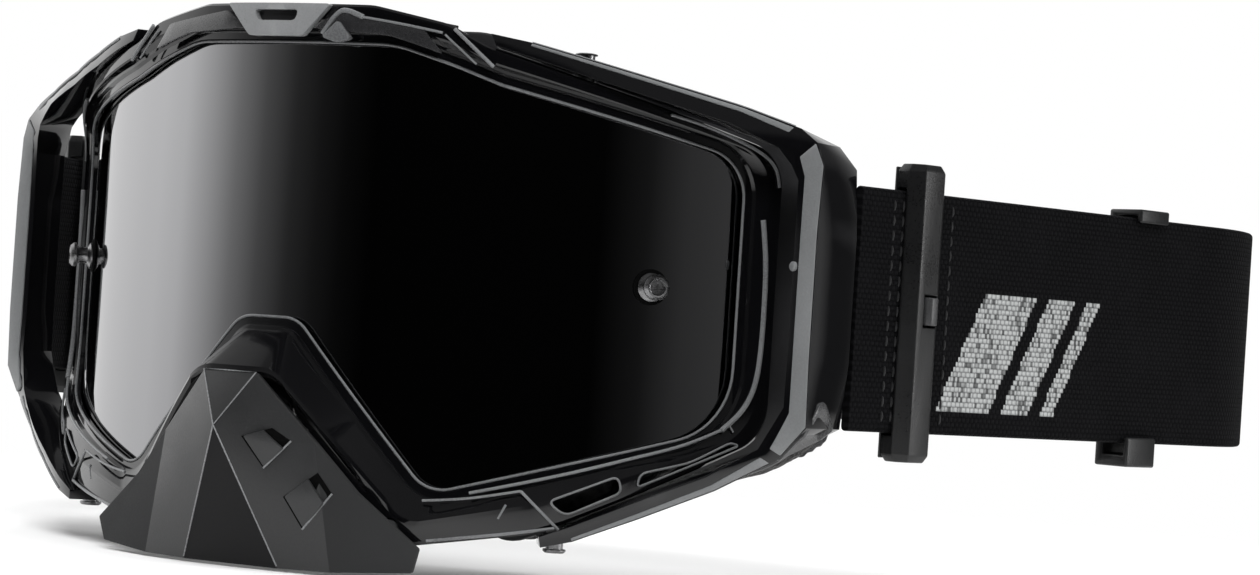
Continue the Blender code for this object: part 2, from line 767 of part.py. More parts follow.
def make_sliders():
    """Slides that set the strap's length: a C-shaped bar round its edges."""
    top = STRAP_WIDTH / 2 + 0.4
    bottom = -STRAP_WIDTH / 2 - SLIDER_PLAY
    section = [
        (-5.8, SLIDER_BOTTOM), (2.4, SLIDER_BOTTOM), (2.4, bottom + 3.6), (1.3, bottom + 3.6),
        (1.3, bottom), (-3.9, bottom), (-3.9, top), (1.3, top), (1.3, top - 1.4),
        (2.4, top - 1.4), (2.4, SLIDER_TOP), (-5.8, SLIDER_TOP),
    ]
    for side, label in SIDES:
        sections = []
        for u in (SLIDER_PLACE - SLIDER_LENGTH / 2, SLIDER_PLACE + SLIDER_LENGTH / 2):
            sections.append([strap_point(side, u, n, z) for n, z in section])
        pivot = strap_point(side, SLIDER_PLACE, 0.0, 0.0)
        add_object(loft(sections), f"strap_slider_{label}", "matte_grey", pivot)


# ---------------------------------------------------------------- assembly

SIDES = ((-1, "left"), (1, "right"))

for existing in list(bpy.data.objects):
    bpy.data.objects.remove(existing, do_unlink=True)

PARTS = make_collection("motorcycle_goggles")
CUTTERS = make_collection("cutters")

make_frame()
make_lens()
make_posts()
make_brow_clip()
make_nose_guard()
make_vent_foams()
make_face_side()
make_outriggers()
make_pivot_pins()
make_strap()
make_clasps()
make_sliders()
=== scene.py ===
"""Looks of the motorcycle goggles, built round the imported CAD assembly.

World axes: +X to the viewer's right when looking at the lens, -Y forward,
+Z up.  The origin is the middle of the face seal.  Design numbers are in
millimetres and MM turns them into metres.
"""
from math import atan2, cos, hypot, pi, radians, sin, tan

import bmesh
import bpy
import numpy as np
from mathutils import Matrix, Vector, noise
from mathutils.bvhtree import BVHTree


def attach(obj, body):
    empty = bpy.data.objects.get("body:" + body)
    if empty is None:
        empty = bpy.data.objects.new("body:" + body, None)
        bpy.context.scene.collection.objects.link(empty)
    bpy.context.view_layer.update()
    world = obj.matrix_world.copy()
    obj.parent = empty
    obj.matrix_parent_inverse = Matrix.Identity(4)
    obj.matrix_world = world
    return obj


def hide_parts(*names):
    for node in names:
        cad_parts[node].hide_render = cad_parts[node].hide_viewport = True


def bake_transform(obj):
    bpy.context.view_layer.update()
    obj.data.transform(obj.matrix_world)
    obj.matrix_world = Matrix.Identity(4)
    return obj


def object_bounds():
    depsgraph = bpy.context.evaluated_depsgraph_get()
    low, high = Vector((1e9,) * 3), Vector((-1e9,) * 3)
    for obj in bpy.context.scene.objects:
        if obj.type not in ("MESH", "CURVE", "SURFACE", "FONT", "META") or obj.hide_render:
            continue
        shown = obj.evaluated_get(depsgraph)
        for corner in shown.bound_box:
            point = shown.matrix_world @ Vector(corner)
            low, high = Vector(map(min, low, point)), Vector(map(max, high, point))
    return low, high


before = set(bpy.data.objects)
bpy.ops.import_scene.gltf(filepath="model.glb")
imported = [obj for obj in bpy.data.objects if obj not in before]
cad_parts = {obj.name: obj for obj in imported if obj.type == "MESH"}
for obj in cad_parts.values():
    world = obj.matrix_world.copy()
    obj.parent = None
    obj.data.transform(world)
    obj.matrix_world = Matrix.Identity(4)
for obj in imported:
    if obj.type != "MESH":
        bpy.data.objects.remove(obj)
CAD_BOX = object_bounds()

MM = 0.001
SIDES = ((-1, "left"), (1, "right"))

# Sizes shared with the CAD source
LENS_RADIUS = 90
LENS_THICKNESS = 1.5
LENS_MARGIN = 2
SEAL_DEPTH = 56
GAP = 0.35
LIP_DEPTH = -1.4
GROOVE_WIDTH = 2.4
GROOVE_BACK = 1.85
WINDOW_RIM_DEPTH = -3.72
PLATE_BACK = 3.2
WALL_INNER = 1
WALL_OUTER = 3.2
FLANGE_DEPTH = 26
FLANGE_RADIUS = 115
FLANGE_THICKNESS = 2.4
POST_ARC = 71.2
POST_HEIGHT = -0.9
POST_HOLE_RADIUS = 1.9
PIVOT = (53, 17.2)
PIN_RADIUS = 1.6
BORE_STEPS = 24
FRAME_BORES = ((33.9, 38), (-48, -42.9))
ARM_BORES = ((34, 44), (-52, -42))
ARM_ROW_PITCH = 4
PEG = (28.4, -47.2)
PEG_RADIUS = 1.5
STRAP_WIDTH = 45
STRAP_THICKNESS = 1.8
STRAP_HEIGHT = -2.2
STRAP_SPLAY = 18
STRAP_RUN = 88
STRAP_CORNER = 36
RETURN_OFFSET = 2.4
RETURN_START = 6
CLASP = (99.4, 66)
CLASP_TOP = 25.4
CLASP_BOTTOM = -30
SLIDER_PLACE = 66
SLIDER_LENGTH = 9
SELVEDGE = 0.8
STITCHES = 15
STITCH_SPAN = 19.5
STITCH_LIFT = 0.9
LINK_RUN = (-17.6, -0.3)
LINK_BEND = (-16.5, -4)

# Right half of the frame: aperture corner, outer corner, depth outside the
# crest, the crest's own depth and how far across it lies.  The nose ramps
# forward to the guard.
FRAME_CORNERS = (
    ((22, 40, 20), (18, 46.8, 10), -3.6, -3.6, 0.5),
    ((33, 36.8, 0.5), (32, 44, 3), -3.6, -3.6, 0.5),
    ((42, 33.7, 12), (39, 40.4, 3), -3.6, -3.6, 0.5),
    ((87.9, 23.4, 9), (95, 24.9, 8), -3.2, -3.2, 0.52),
    ((88, -25.6, 14), (95, -27, 9), -3.2, -3.2, 0.52),
    ((58, -33.9, 0.5), (57, -44.8, 1), -3.6, -3.6, 0.45),
    ((52, -35.6, 0.5), (51.5, -46.8, 1), -3.8, -3.8, 0.45),
    ((33.3, -40.9, 7), (26.5, -51, 5), -4.4, -4.4, 0.48),
    ((6.2, -10.8, 6), (8.5, -25.5, 6), -7.8, -10.6, 0.62),
)
OUTLINE_PITCH = 3
FLANGE_CORNERS = (
    ((24, 32, 14), (24, 45.4, 14)),
    ((70, 19, 12), (84, 27.5, 14)),
    ((70.5, -21, 12), (84.5, -30, 16)),
    ((34, -33, 7), (33, -50.8, 6)),
    ((6, -5.5, 5), (8.5, -24, 6)),
)
FOAM_LAYERS = (
    ("foam_base", 2.75, 10.6, 0),
    ("foam_face", 11.2, 15.8, 1.2),
    ("face_fleece", 16.15, 17.3, 1.2),
)
PAD_PRESSURE = 4
PAD_FRAMES = 20
PAD_RIPPLE = 0.35
PAD_RIPPLE_SIZE = 9
OUTRIGGER_SECTIONS = (
    ((40.6, 40.4, -4), (39.6, 42.6, -3.6), (0, 10)),
    ((46, 38.9, -4.4), (46.8, 41.4, -4), (0, 11)),
    ((56, 36.1, -4.8), (57.2, 39, -4.2), (0, 12)),
    ((68, 32.8, -6.6), (69.8, 36, -5.6), (0, 9.5)),
    ((80, 29.4, -10.2), (83, 32.6, -9.4), (0.5, 7.5)),
    ((88, 25.6, -12.6), (91.4, 29.4, -13.8), (4, 6)),
    ((90.2, 22.8, -13.2), (93.4, 27, -15.8), (7.6, 5)),
    ((91.6, 20, -13.4), (94.4, 23, -16.8), (9, 4)),
    ((91.8, 10, -13.2), (93.8, 10.5, -17.1), (9.8, 3.4)),
    ((91.8, -12, -13.2), (93.8, -12.5, -17.1), (9.8, 3.4)),
    ((91.6, -21, -13.4), (94.2, -24.5, -16.8), (9, 4)),
    ((88, -28.9, -12.2), (91, -30.7, -13.4), (4, 6.5)),
    ((80, -34.4, -10), (82, -36.8, -9.6), (0.5, 8.5)),
    ((68, -40.1, -7.6), (69.5, -42.8, -7.2), (0, 10.5)),
    ((58, -44.9, -6.2), (59, -47.4, -6), (0, 12)),
    ((53.4, -46.9, -5.4), (53.8, -48.8, -5.2), (0, 11)),
)
VENT_WINDOWS = (
    ((54.6, -40.6), (66.6, -35.3), (67.5, -38.2), (57.8, -43)),
    ((70.6, -34.6), (79.5, -32.2), (87, -28.2), (88.8, -28.6), (70, -37.2)),
)
VENT_FOAM_DEPTH = 3.6
VENT_FOAM = ((55.4, -41.2), (66.8, -36.4), (80, -33.2), (87.2, -29), (89.2, -29.4), (57.6, -43.8))
GUARD_POINTS = {
    "top": (0, -12.1, -20.9),
    "top_corner": (5.8, -12.1, -20.9),
    "apex": (0, -16.1, -30.8),
    "flank_high": (16.6, -8, -32.4),
    "flank_low": (24.6, -5.1, -41.2),
    "wing": (36, -1.5, -50.4),
    "heel": (34.7, -1.2, -54.8),
    "ridge_foot": (20.7, -6.4, -55.8),
    "keel_foot": (10.6, -8.1, -56),
    "foot": (0, -8.6, -56),
}
GUARD_FACETS = (
    ("top", "top_corner", "apex"),
    ("apex", "top_corner", "flank_high", "ridge_foot", "keel_foot"),
    ("apex", "keel_foot", "foot"),
    ("flank_high", "flank_low", "wing", "heel", "ridge_foot"),
)
GUARD_THICKNESS = 1.8
KEEL_HALF_WIDTH = 5
KEEL_TOP = -40
FLANK_START = 22


# ---- geometry

def in_world(x, y, z):
    """World point, in metres, from millimetres behind the lens's front."""
    return Vector((x, y - SEAL_DEPTH, z)) * MM


def on_lens(s, z, depth):
    """World point at arc length s, height z and depth behind the lens face."""
    angle = s / LENS_RADIUS
    reach = LENS_RADIUS - depth
    return in_world(reach * sin(angle), LENS_RADIUS - reach * cos(angle), z)


def lens_normal(point):
    """Outward direction of the lens's cylinder at a world point."""
    away = Vector((point.x, point.y - (LENS_RADIUS - SEAL_DEPTH) * MM, 0))
    return away.normalized()


def flange_y(x):
    return FLANGE_DEPTH + x * x / (2 * FLANGE_RADIUS)


def unit(dx, dy):
    length = hypot(dx, dy)
    return dx / length, dy / length


def lerp(a, b, t):
    return a + (b - a) * t


def mix(a, b, t):
    """Point part of the way from one tuple to another."""
    return tuple(lerp(p, q, t) for p, q in zip(a, b))


def pairs(points):
    """Each point of a closed outline with the one after it."""
    return zip(points, points[1:] + points[:1])


def apart(a, b):
    return hypot(b[0] - a[0], b[1] - a[1])


def rounded_corner(before, corner, after, steps):
    """Points of the arc that rounds a corner, steps + 1 of them."""
    x, y, radius = corner
    ax, ay = unit(before[0] - x, before[1] - y)
    bx, by = unit(after[0] - x, after[1] - y)
    half = 0.5 * (pi - abs(atan2(ax * by - ay * bx, ax * bx + ay * by)))
    reach = max(radius * tan(half), 1.2)
    radius = reach / tan(half)
    mx, my = unit(ax + bx, ay + by)
    centre_reach = radius / cos(half)
    cx, cy = x + mx * centre_reach, y + my * centre_reach
    start = atan2(y + ay * reach - cy, x + ax * reach - cx)
    turn = atan2(y + by * reach - cy, x + bx * reach - cx) - start
    turn = (turn + pi) % (2 * pi) - pi
    angles = [start + turn * i / steps for i in range(steps + 1)]
    return [(cx + radius * cos(angle), cy + radius * sin(angle)) for angle in angles]


def mirrored_loop(half):
    return list(half) + [(-x, y, r) for x, y, r in reversed(half)]


def loop_plan(half, fine):
    """Arc steps and spans for an outline, from the corners of its inner edge."""
    corners = mirrored_loop(half)
    arc_steps = [2 if radius < 2 else fine for _, _, radius in corners]
    return arc_steps, [max(2, round(apart(a, b) / OUTLINE_PITCH)) for a, b in pairs(corners)]


def rounded_loop(half, arc_steps, spans):
    """Closed outline: each corner rounded, each side split into its spans."""
    corners = mirrored_loop(half)
    arcs = []
    for i, (corner, after) in enumerate(pairs(corners)):
        arcs.append(rounded_corner(corners[i - 1], corner, after, arc_steps[i]))
    points = []
    for (arc, following), span in zip(pairs(arcs), spans):
        points.extend(arc)
        points.extend(mix(arc[-1], following[0], k / span) for k in range(1, span))
    return points


def outlines(table, fine):
    """Inner and outer outlines of a table of corners, and their plan."""
    inner_half, outer_half = ([row[k] for row in table] for k in (0, 1))
    plan = loop_plan(inner_half, fine)
    return rounded_loop(inner_half, *plan), rounded_loop(outer_half, *plan), plan


def spread(values, arc_steps, spans):
    """One value for each outline point, from one value for each corner."""
    result = []
    for (value, following), steps, span in zip(pairs(values + values[::-1]), arc_steps, spans):
        result.extend([value] * (steps + 1))
        result.extend(lerp(value, following, k / span) for k in range(1, span))
    return result


def outward(points):
    """Unit normals of a clockwise outline, pointing out of it."""
    normals = []
    for i in range(len(points)):
        x0, y0 = points[i - 1]
        x1, y1 = points[(i + 1) % len(points)]
        tx, ty = unit(x1 - x0, y1 - y0)
        normals.append((-ty, tx))
    return normals


def offset_loop(points, distance):
    normals = outward(points)
    return [(x + nx * distance, y + ny * distance) for (x, y), (nx, ny) in zip(points, normals)]


def circle(cx, cy, radius, steps):
    turn = 2 * pi / steps
    return [(cx + radius * cos(turn * i), cy + radius * sin(turn * i)) for i in range(steps)]


def softened(points, radius, steps=4):
    """Closed polygon with each corner rounded by a curve within its sides."""
    result = []
    for i, (corner, after) in enumerate(pairs(points)):
        before = points[i - 1]
        reach = min(radius, 0.45 * min(apart(before, corner), apart(corner, after)))
        a = mix(corner, before, reach / apart(before, corner))
        b = mix(corner, after, reach / apart(corner, after))
        result.extend(mix(mix(a, corner, i / steps), mix(corner, b, i / steps), i / steps)
                      for i in range(steps + 1))
    return result


def dense(points, pitch):
    """Closed outline with points added along its long sides."""
    result = []
    for start, end in pairs(points):
        steps = max(1, round(apart(start, end) / pitch))
        result.extend(mix(start, end, k / steps) for k in range(steps))
    return result


# ---- meshes

def loft(sections, closed=False):
    """Skin over sections of equal length; open lofts get flat ends."""
    bm = bmesh.new()
    rows = [[bm.verts.new(point) for point in section] for section in sections]
    for row, following in zip(rows, rows[1:] + rows[:1] * closed):
        for (a, b), (c, d) in zip(pairs(row), pairs(following)):
            bm.faces.new((a, b, d, c))
    if not closed:
        bm.faces.new(rows[0])
        bm.faces.new(rows[-1][::-1])
    bmesh.ops.recalc_face_normals(bm, faces=bm.faces)
    return bm


def slab(outline, front, back, pitch=2.5):
    """Closed sheet over a flat outline, cut into strips and then bent."""
    bm = bmesh.new()
    bm.faces.new([bm.verts.new((s, 0, z)) for s, z in outline])
    low = min(s for s, _ in outline)
    high = max(s for s, _ in outline)
    strips = max(1, round((high - low) / pitch))
    for i in range(1, strips):
        cut = lerp(low, high, i / strips)
        geometry = bm.verts[:] + bm.edges[:] + bm.faces[:]
        bmesh.ops.bisect_plane(bm, geom=geometry, dist=0.001, plane_co=(cut, 0, 0), plane_no=(1, 0, 0))
    extruded = bmesh.ops.extrude_face_region(bm, geom=bm.faces[:])
    rear = {v for v in extruded["geom"] if isinstance(v, bmesh.types.BMVert)}
    for vert in bm.verts:
        place = back if vert in rear else front
        vert.co = place(vert.co.x, vert.co.z)
    bmesh.ops.recalc_face_normals(bm, faces=bm.faces)
    return bm


def bent_slab(outline, depth_front, depth_back, pitch=2.5):
    """Slab wrapped round the lens between two depths."""
    return slab(
        outline,
        lambda s, z: on_lens(s, z, depth_front),
        lambda s, z: on_lens(s, z, depth_back),
        pitch,
    )


def turned(profile, steps=40, closed=False):
    """Mesh turned about Z from (radius, height) points; closed makes a washer."""
    sections = [[Vector((x, y, height)) * MM for x, y in circle(0, 0, radius, steps)]
                for radius, height in profile]
    return loft(sections, closed)


def bore(radius, low, high, steps=BORE_STEPS):
    return turned([(radius, low), (radius, high)], steps)


def moved(bm, offset, turn=None):
    """The mesh, turned by a matrix and then shifted."""
    if turn:
        bmesh.ops.rotate(bm, verts=bm.verts, matrix=turn)
    bmesh.ops.translate(bm, verts=bm.verts, vec=offset)
    return bm


def pivot_bores(side, spans):
    """Clearance holes round the outrigger's axis, one for each span of height."""
    axis = in_world(side * PIVOT[0], PIVOT[1], 0)
    return [solid(moved(bore(PIN_RADIUS + GAP, *span), axis), "pivot_cut", [GLOSS]) for span in spans]


def along_y(bm, x, z):
    """The mesh turned from Z so that it points back along Y, at x, z."""
    return moved(bm, in_world(x, 0, z), Matrix.Rotation(radians(-90), 3, "X"))


def on_post(bm, side):
    """The mesh stood on the lens at a tear-off post, +Z outward."""
    base = on_lens(side * POST_ARC, POST_HEIGHT, 0)
    out = on_lens(side * POST_ARC, POST_HEIGHT, -1) - base
    return moved(bm, base, out.to_track_quat("Z", "Y").to_matrix())


def tube(path, radius, sides=8, closed=True):
    """Thin round bead along a path of world points."""
    sections = []
    count = len(path)
    turn = 2 * pi / sides
    for i, point in enumerate(path):
        before = path[i - 1] if closed or i else path[0]
        after = path[(i + 1) % count] if closed or i < count - 1 else path[-1]
        along = (after - before).normalized()
        across = along.cross(lens_normal(point)).normalized()
        out = across.cross(along)
        sections.append([
            point + (across * cos(turn * k) + out * sin(turn * k)) * radius * MM for k in range(sides)
        ])
    return loft(sections, closed)


def ring(inner, outer, section):
    """Closed ring; section turns a pair of outline points into world points."""
    return loft([section(a, b) for a, b in zip(inner, outer)], closed=True)


def strap_frame(side):
    """Clasp centre, direction along the strap and direction outward."""
    splay = radians(STRAP_SPLAY)
    centre = in_world(side * CLASP[0], CLASP[1], STRAP_HEIGHT)
    along = Vector((side * sin(splay), cos(splay), 0))
    out = Vector((side * cos(splay), -sin(splay), 0))
    return centre, along, out


def strap_point(side, u, n=0, z=0):
    """World point from distances along, out of and up the strap's side run."""
    centre, along, out = strap_frame(side)
    return centre + (along * u + out * n + Vector((0, 0, z))) * MM


def strap_prism(side, outline, z_low, z_high):
    """Upright prism over an outline given as (along, outward) points."""
    return loft([[strap_point(side, u, n, z) for u, n in outline] for z in (z_low, z_high)])


# ---- pieces

def solid(bm, name, materials, crease=28):
    """Object from a bmesh with smooth faces and sharp edges over an angle."""
    mesh = bpy.data.meshes.new(name)
    bm.to_mesh(mesh)
    bm.free()
    mesh.shade_smooth()
    mesh.set_sharp_from_angle(angle=radians(crease))
    for material in materials:
        mesh.materials.append(material)
    item = bpy.data.objects.new(name, mesh)
    bpy.context.scene.collection.objects.link(item)
    return item


def bake_modifiers(item, crease=None):
    """Replace an object's mesh by what its modifiers make of it."""
    bpy.context.view_layer.update()
    graph = bpy.context.evaluated_depsgraph_get()
    mesh = bpy.data.meshes.new_from_object(item.evaluated_get(graph), depsgraph=graph)
    item.modifiers.clear()
    item.data = mesh
    if crease is not None:
        mesh.shade_smooth()
        mesh.set_sharp_from_angle(angle=radians(crease))


def bevelled(item, width, segments=2, angle=30, crease=35):
    """Round an object's sharp edges."""
    modifier = item.modifiers.new("edges", "BEVEL")
    modifier.width = width * MM
    modifier.segments = segments
    modifier.limit_method = "ANGLE"
    modifier.angle_limit = radians(angle)
    bake_modifiers(item, crease)


def cut_away(item, cutters):
    """Cut other objects out of an object, and then drop them."""
    for other in cutters:
        modifier = item.modifiers.new("cut", "BOOLEAN")
        modifier.object = other
        modifier.operation = "DIFFERENCE"
        modifier.solver = "EXACT"
    bake_modifiers(item)
    for other in cutters:
        bpy.data.objects.remove(other)


def place(item, body, slot, *nodes):
    """Ride an object on a body, standing for CAD nodes; the slot is not used."""
    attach(item, body)
    if nodes:
        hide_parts(*nodes)


def piece(bm, name, material, body, slot, *nodes, bevel=()):
    """One object from a bmesh, its edges rounded, placed on a body."""
    item = solid(bm, name, [material])
    if bevel:
        bevelled(item, *bevel)
    place(item, body, slot, *nodes)


# ---- materials

class Nodes:
    """Short calls that add nodes to a tree and join them."""

    def __init__(self, tree):
        self.tree = tree

    def node(self, kind, inputs=None, **settings):
        made = self.tree.nodes.new("ShaderNode" + kind)
        for key, value in settings.items():
            setattr(made, key, value)
        for key, value in (inputs or {}).items():
            self.feed(made.inputs[key], value)
        return made

    def feed(self, socket, value):
        if isinstance(value, bpy.types.NodeSocket):
            self.tree.links.new(value, socket)
        else:
            socket.default_value = value

    def math(self, operation, *values):
        return self.node("Math", dict(enumerate(values)), operation=operation).outputs[0]

    def times(self, *values):
        return self.math("MULTIPLY", *values)

    def plus(self, *values):
        return self.math("ADD", *values)

    def range(self, value, low, high, out_low=0, out_high=1, **settings):
        return self.node("MapRange", {
            "Value": value, "From Min": low, "From Max": high, "To Min": out_low, "To Max": out_high,
        }, **settings).outputs["Result"]


class Paint(Nodes):
    """A material under construction."""

    def __init__(self, name, colour, roughness, **uniform):
        self.material = bpy.data.materials.new(name)
        self.material.use_nodes = True
        super().__init__(self.material.node_tree)
        self.shader = self.tree.nodes["Principled BSDF"]
        self.set("Base Color", (*colour, 1))
        self.set("Roughness", roughness)
        for key, value in uniform.items():
            self.set(key.replace("_", " "), value)
        self.place = self.node("TexCoord").outputs["Object"]

    def set(self, key, value):
        self.feed(self.shader.inputs[key], value)

    def noise(self, scale, detail=3, rough=0.5, stretch=(1, 1, 1)):
        mapping = self.node("Mapping", {"Vector": self.place, "Scale": stretch})
        return self.node("TexNoise", {
            "Vector": mapping.outputs[0], "Scale": scale, "Detail": detail, "Roughness": rough,
        }).outputs["Fac"]

    def cells(self, scale):
        return self.node("TexVoronoi", {"Vector": self.place, "Scale": scale}).outputs["Distance"]

    def blend(self, factor, first, second):
        made = self.node("Mix", data_type="RGBA")
        for index, value in ((0, factor), (6, first), (7, second)):
            self.feed(made.inputs[index], (*value, 1) if isinstance(value, tuple) else value)
        return made.outputs[2]

    def edges(self, low=0.52, high=0.6):
        """1 on worn convex edges, 0 elsewhere."""
        return self.range(self.node("NewGeometry").outputs["Pointiness"], low, high)

    def colour(self, factor, first, second):
        """Colour that turns from the first to the second as factor rises."""
        self.set("Base Color", self.blend(factor, first, second))

    def roughness(self, value):
        self.set("Roughness", value)

    def bump(self, height, strength, distance):
        made = self.node("Bump", {"Height": height, "Strength": strength, "Distance": distance})
        self.set("Normal", made.outputs[0])


def gloss_plastic():
    """Polished black moulding: faint flow marks, fine hairline scuffs."""
    black = (0.003, 0.003, 0.0035)
    paint = Paint("gloss_black", black, 0.08)
    haze = paint.range(paint.noise(45, 4, 0.6), 0.45, 0.75, 0, 0.06)
    marks = paint.range(paint.noise(900, 4, 0.7, (1, 0.15, 0.15)), 0.62, 0.72, 0, 0.06)
    paint.roughness(paint.plus(paint.plus(haze, marks), 0.05))
    paint.colour(paint.times(paint.edges(0.54, 0.66), 0.4), black, (0.045, 0.045, 0.047))
    paint.bump(paint.noise(140, 2), 0.05, 0.0004)
    return paint.material


def grained_plastic(name, base, light, roughness, grain, specular):
    """Spark-eroded matt plastic: pitted grain, rubbed paler on its edges."""
    paint = Paint(name, base, roughness, Specular_IOR_Level=specular)
    pits = paint.noise(2600, 3, 0.6)
    broad = paint.noise(60, 4, 0.6)
    tone = paint.plus(paint.times(paint.range(pits, 0.3, 0.75), 0.28),
                      paint.times(paint.range(broad, 0.35, 0.7), 0.22))
    tone = paint.plus(tone, paint.times(paint.edges(), 0.6))
    paint.colour(paint.math("MINIMUM", tone, 1), base, light)
    paint.roughness(paint.range(paint.plus(pits, broad), 0.7, 1.3, roughness - 0.1, roughness + 0.12))
    paint.bump(pits, grain, 0.00025)
    return paint.material


def lens_tint():
    """Smoke lens with a flash coating: nearly a dark mirror, lightly smeared."""
    paint = Paint("lens_smoke", (0.2, 0.2, 0.205), 0.03, Metallic=1)
    smear = paint.range(paint.noise(38, 5, 0.62, (1, 1, 0.35)), 0.45, 0.75, 0.02, 0.05)
    fine = paint.range(paint.noise(1500, 2, 0.5, (0.2, 0.2, 1)), 0.66, 0.8, 0, 0.03)
    paint.roughness(paint.plus(smear, fine))
    height = paint.node("SeparateXYZ", {"Vector": paint.place}).outputs["Z"]
    paint.colour(paint.range(height, -0.04, 0.04), (0.19, 0.19, 0.195), (0.23, 0.23, 0.235))
    return paint.material


def open_foam(name, dark, light, scale):
    """Open-cell foam: pores of two sizes, matt."""
    paint = Paint(name, dark, 0.95, Sheen_Weight=0.15)
    small = paint.cells(scale * 2.7)
    depth = paint.plus(paint.times(paint.cells(scale), 0.7), paint.times(small, 0.3))
    paint.colour(paint.range(depth, 0.15, 0.65, 1, 0), light, dark)
    paint.roughness(paint.range(small, 0, 0.8, 0.85, 1))
    paint.bump(depth, 0.8, 0.0007)
    return paint.material


def fleece():
    """Brushed face fleece: tangled short fibres, a soft sheen."""
    paint = Paint("fleece_grey", (0.05, 0.05, 0.052), 1, Sheen_Weight=0.6, Sheen_Roughness=0.45)
    fibres = paint.noise(2400, 6, 0.75, (1, 0.4, 0.6))
    pile = paint.plus(paint.times(fibres, 0.6), paint.times(paint.noise(420, 4, 0.65), 0.6))
    paint.colour(paint.range(pile, 0.42, 0.8), (0.03, 0.03, 0.032), (0.11, 0.11, 0.115))
    paint.roughness(paint.range(fibres, 0.3, 0.7, 0.9, 1))
    paint.bump(pile, 0.9, 0.0009)
    return paint.material


def soft_flange():
    """Soft flexible moulding behind the frame."""
    paint = Paint("flange_black", (0.016, 0.016, 0.017), 0.5)
    bloom = paint.noise(70, 4, 0.6)
    paint.colour(paint.range(bloom, 0.4, 0.7), (0.014, 0.014, 0.015), (0.03, 0.03, 0.032))
    paint.roughness(paint.range(bloom, 0.35, 0.7, 0.42, 0.6))
    paint.bump(paint.noise(1700, 3, 0.6), 0.25, 0.0002)
    return paint.material


def turned_steel():
    paint = Paint("steel", (0.22, 0.22, 0.225), 0.3, Metallic=1)
    rings = paint.noise(3800, 2, 0.5, (0.3, 0.3, 1))
    tarnish = paint.range(paint.noise(500, 4, 0.6), 0.4, 0.75)
    paint.colour(tarnish, (0.26, 0.26, 0.265), (0.15, 0.15, 0.15))
    paint.roughness(paint.range(rings, 0.3, 0.7, 0.24, 0.38))
    paint.bump(rings, 0.04, 0.00005)
    return paint.material


# Woven bars on the strap: start and end along it, both slanted (metres)
BARS = ((0.015, 0.03), (0.0335, 0.0415), (0.045, 0.049))
BAR_SLANT = 0.55
BAR_LOW = -0.0185
BAR_HIGH = 0.0045
RIB = 0.00095
WEFT_LOOP = 0.0012


def webbing(name, barred):
    """Elastic webbing: ribs along its length, crossed by offset weft loops."""
    paint = Paint(name, (0.006, 0.006, 0.007), 0.9, Sheen_Weight=0.01, Specular_IOR_Level=0.06)
    weave = paint.node("Attribute", attribute_name="weave").outputs["Vector"]
    parts = paint.node("SeparateXYZ", {"Vector": weave})
    along, across = parts.outputs["X"], parts.outputs["Y"]

    def wave(phase, power):
        return paint.math("POWER", paint.math("ABSOLUTE", paint.math("SINE", phase)), power)

    row = paint.math("FLOOR", paint.math("DIVIDE", across, RIB))
    shifted = paint.plus(paint.math("DIVIDE", along, WEFT_LOOP), paint.times(row, 0.5))
    fuzz = paint.noise(2600, 4, 0.7)
    height = paint.times(wave(paint.times(across, pi / RIB), 0.6), wave(paint.times(shifted, pi), 0.5))
    height = paint.plus(height, paint.times(fuzz, 0.35))
    # Raised yarn is painted lighter and the dips darker: painted highlight and shade on the weave, over the
    # yarn's own near-black.
    yarn = paint.blend(paint.range(height, 0.3, 1.2), (0.001, 0.001, 0.0013), (0.0045, 0.0045, 0.0052))
    worn = paint.range(paint.noise(90, 4, 0.6), 0.45, 0.75, 0, 0.4)
    yarn = paint.blend(worn, yarn, (0.0065, 0.0065, 0.0075))
    if barred:
        cell_u = paint.math("SNAP", along, WEFT_LOOP * 0.5)
        cell_v = paint.math("SNAP", across, RIB)

        def between(value, low, high):
            return paint.times(paint.math("GREATER_THAN", value, low), paint.math("LESS_THAN", value, high))

        skew = paint.math("SUBTRACT", cell_u, paint.times(cell_v, BAR_SLANT))
        mask = 0
        for start, end in BARS:
            mask = paint.math("MAXIMUM", mask, between(skew, start, end))
        mask = paint.times(paint.times(mask, between(cell_v, BAR_LOW, BAR_HIGH)),
                           paint.math("GREATER_THAN", parts.outputs["Z"], 0.5))
        cell = paint.node("CombineXYZ", {"X": cell_u, "Y": cell_v}).outputs[0]
        dropped = paint.node("TexWhiteNoise", {"Vector": cell}).outputs["Value"]
        kept = paint.range(dropped, 0.08, 0.38, 0.25, 1)
        # The bars' grey is also painted lighter on raised yarn and darker in the dips: painted highlight
        # and shade.
        grey = paint.blend(paint.range(height, 0.2, 1), (0.16, 0.165, 0.165), (0.44, 0.45, 0.45))
        yarn = paint.blend(paint.times(mask, kept), yarn, grey)
    paint.set("Base Color", yarn)
    paint.roughness(paint.range(fuzz, 0.3, 0.7, 0.75, 0.95))
    paint.bump(height, 0.75, 0.00035)
    return paint.material


def thread():
    paint = Paint("thread", (0.006, 0.006, 0.0065), 0.7, Sheen_Weight=0.05)
    twist = paint.noise(3000, 2, 0.5, (1, 1, 0.3))
    paint.colour(twist, (0.004, 0.004, 0.0045), (0.013, 0.013, 0.014))
    paint.bump(twist, 0.4, 0.0001)
    return paint.material


def floor_paint():
    """Pale matt floor that grows transparent away from the object."""
    paint = Paint("floor", (0.9, 0.9, 0.9), 0.8, Specular_IOR_Level=0.1)
    paint.colour(paint.noise(9, 5, 0.6), (0.88, 0.88, 0.88), (0.92, 0.92, 0.92))
    distance = paint.node("VectorMath", {0: paint.place}, operation="LENGTH").outputs["Value"]
    clear = paint.node("BsdfTransparent").outputs[0]
    surface = paint.node("MixShader", {
        0: paint.range(distance, 0.14, 0.36), 1: paint.shader.outputs[0], 2: clear})
    paint.feed(paint.tree.nodes["Material Output"].inputs["Surface"], surface.outputs[0])
    return paint.material


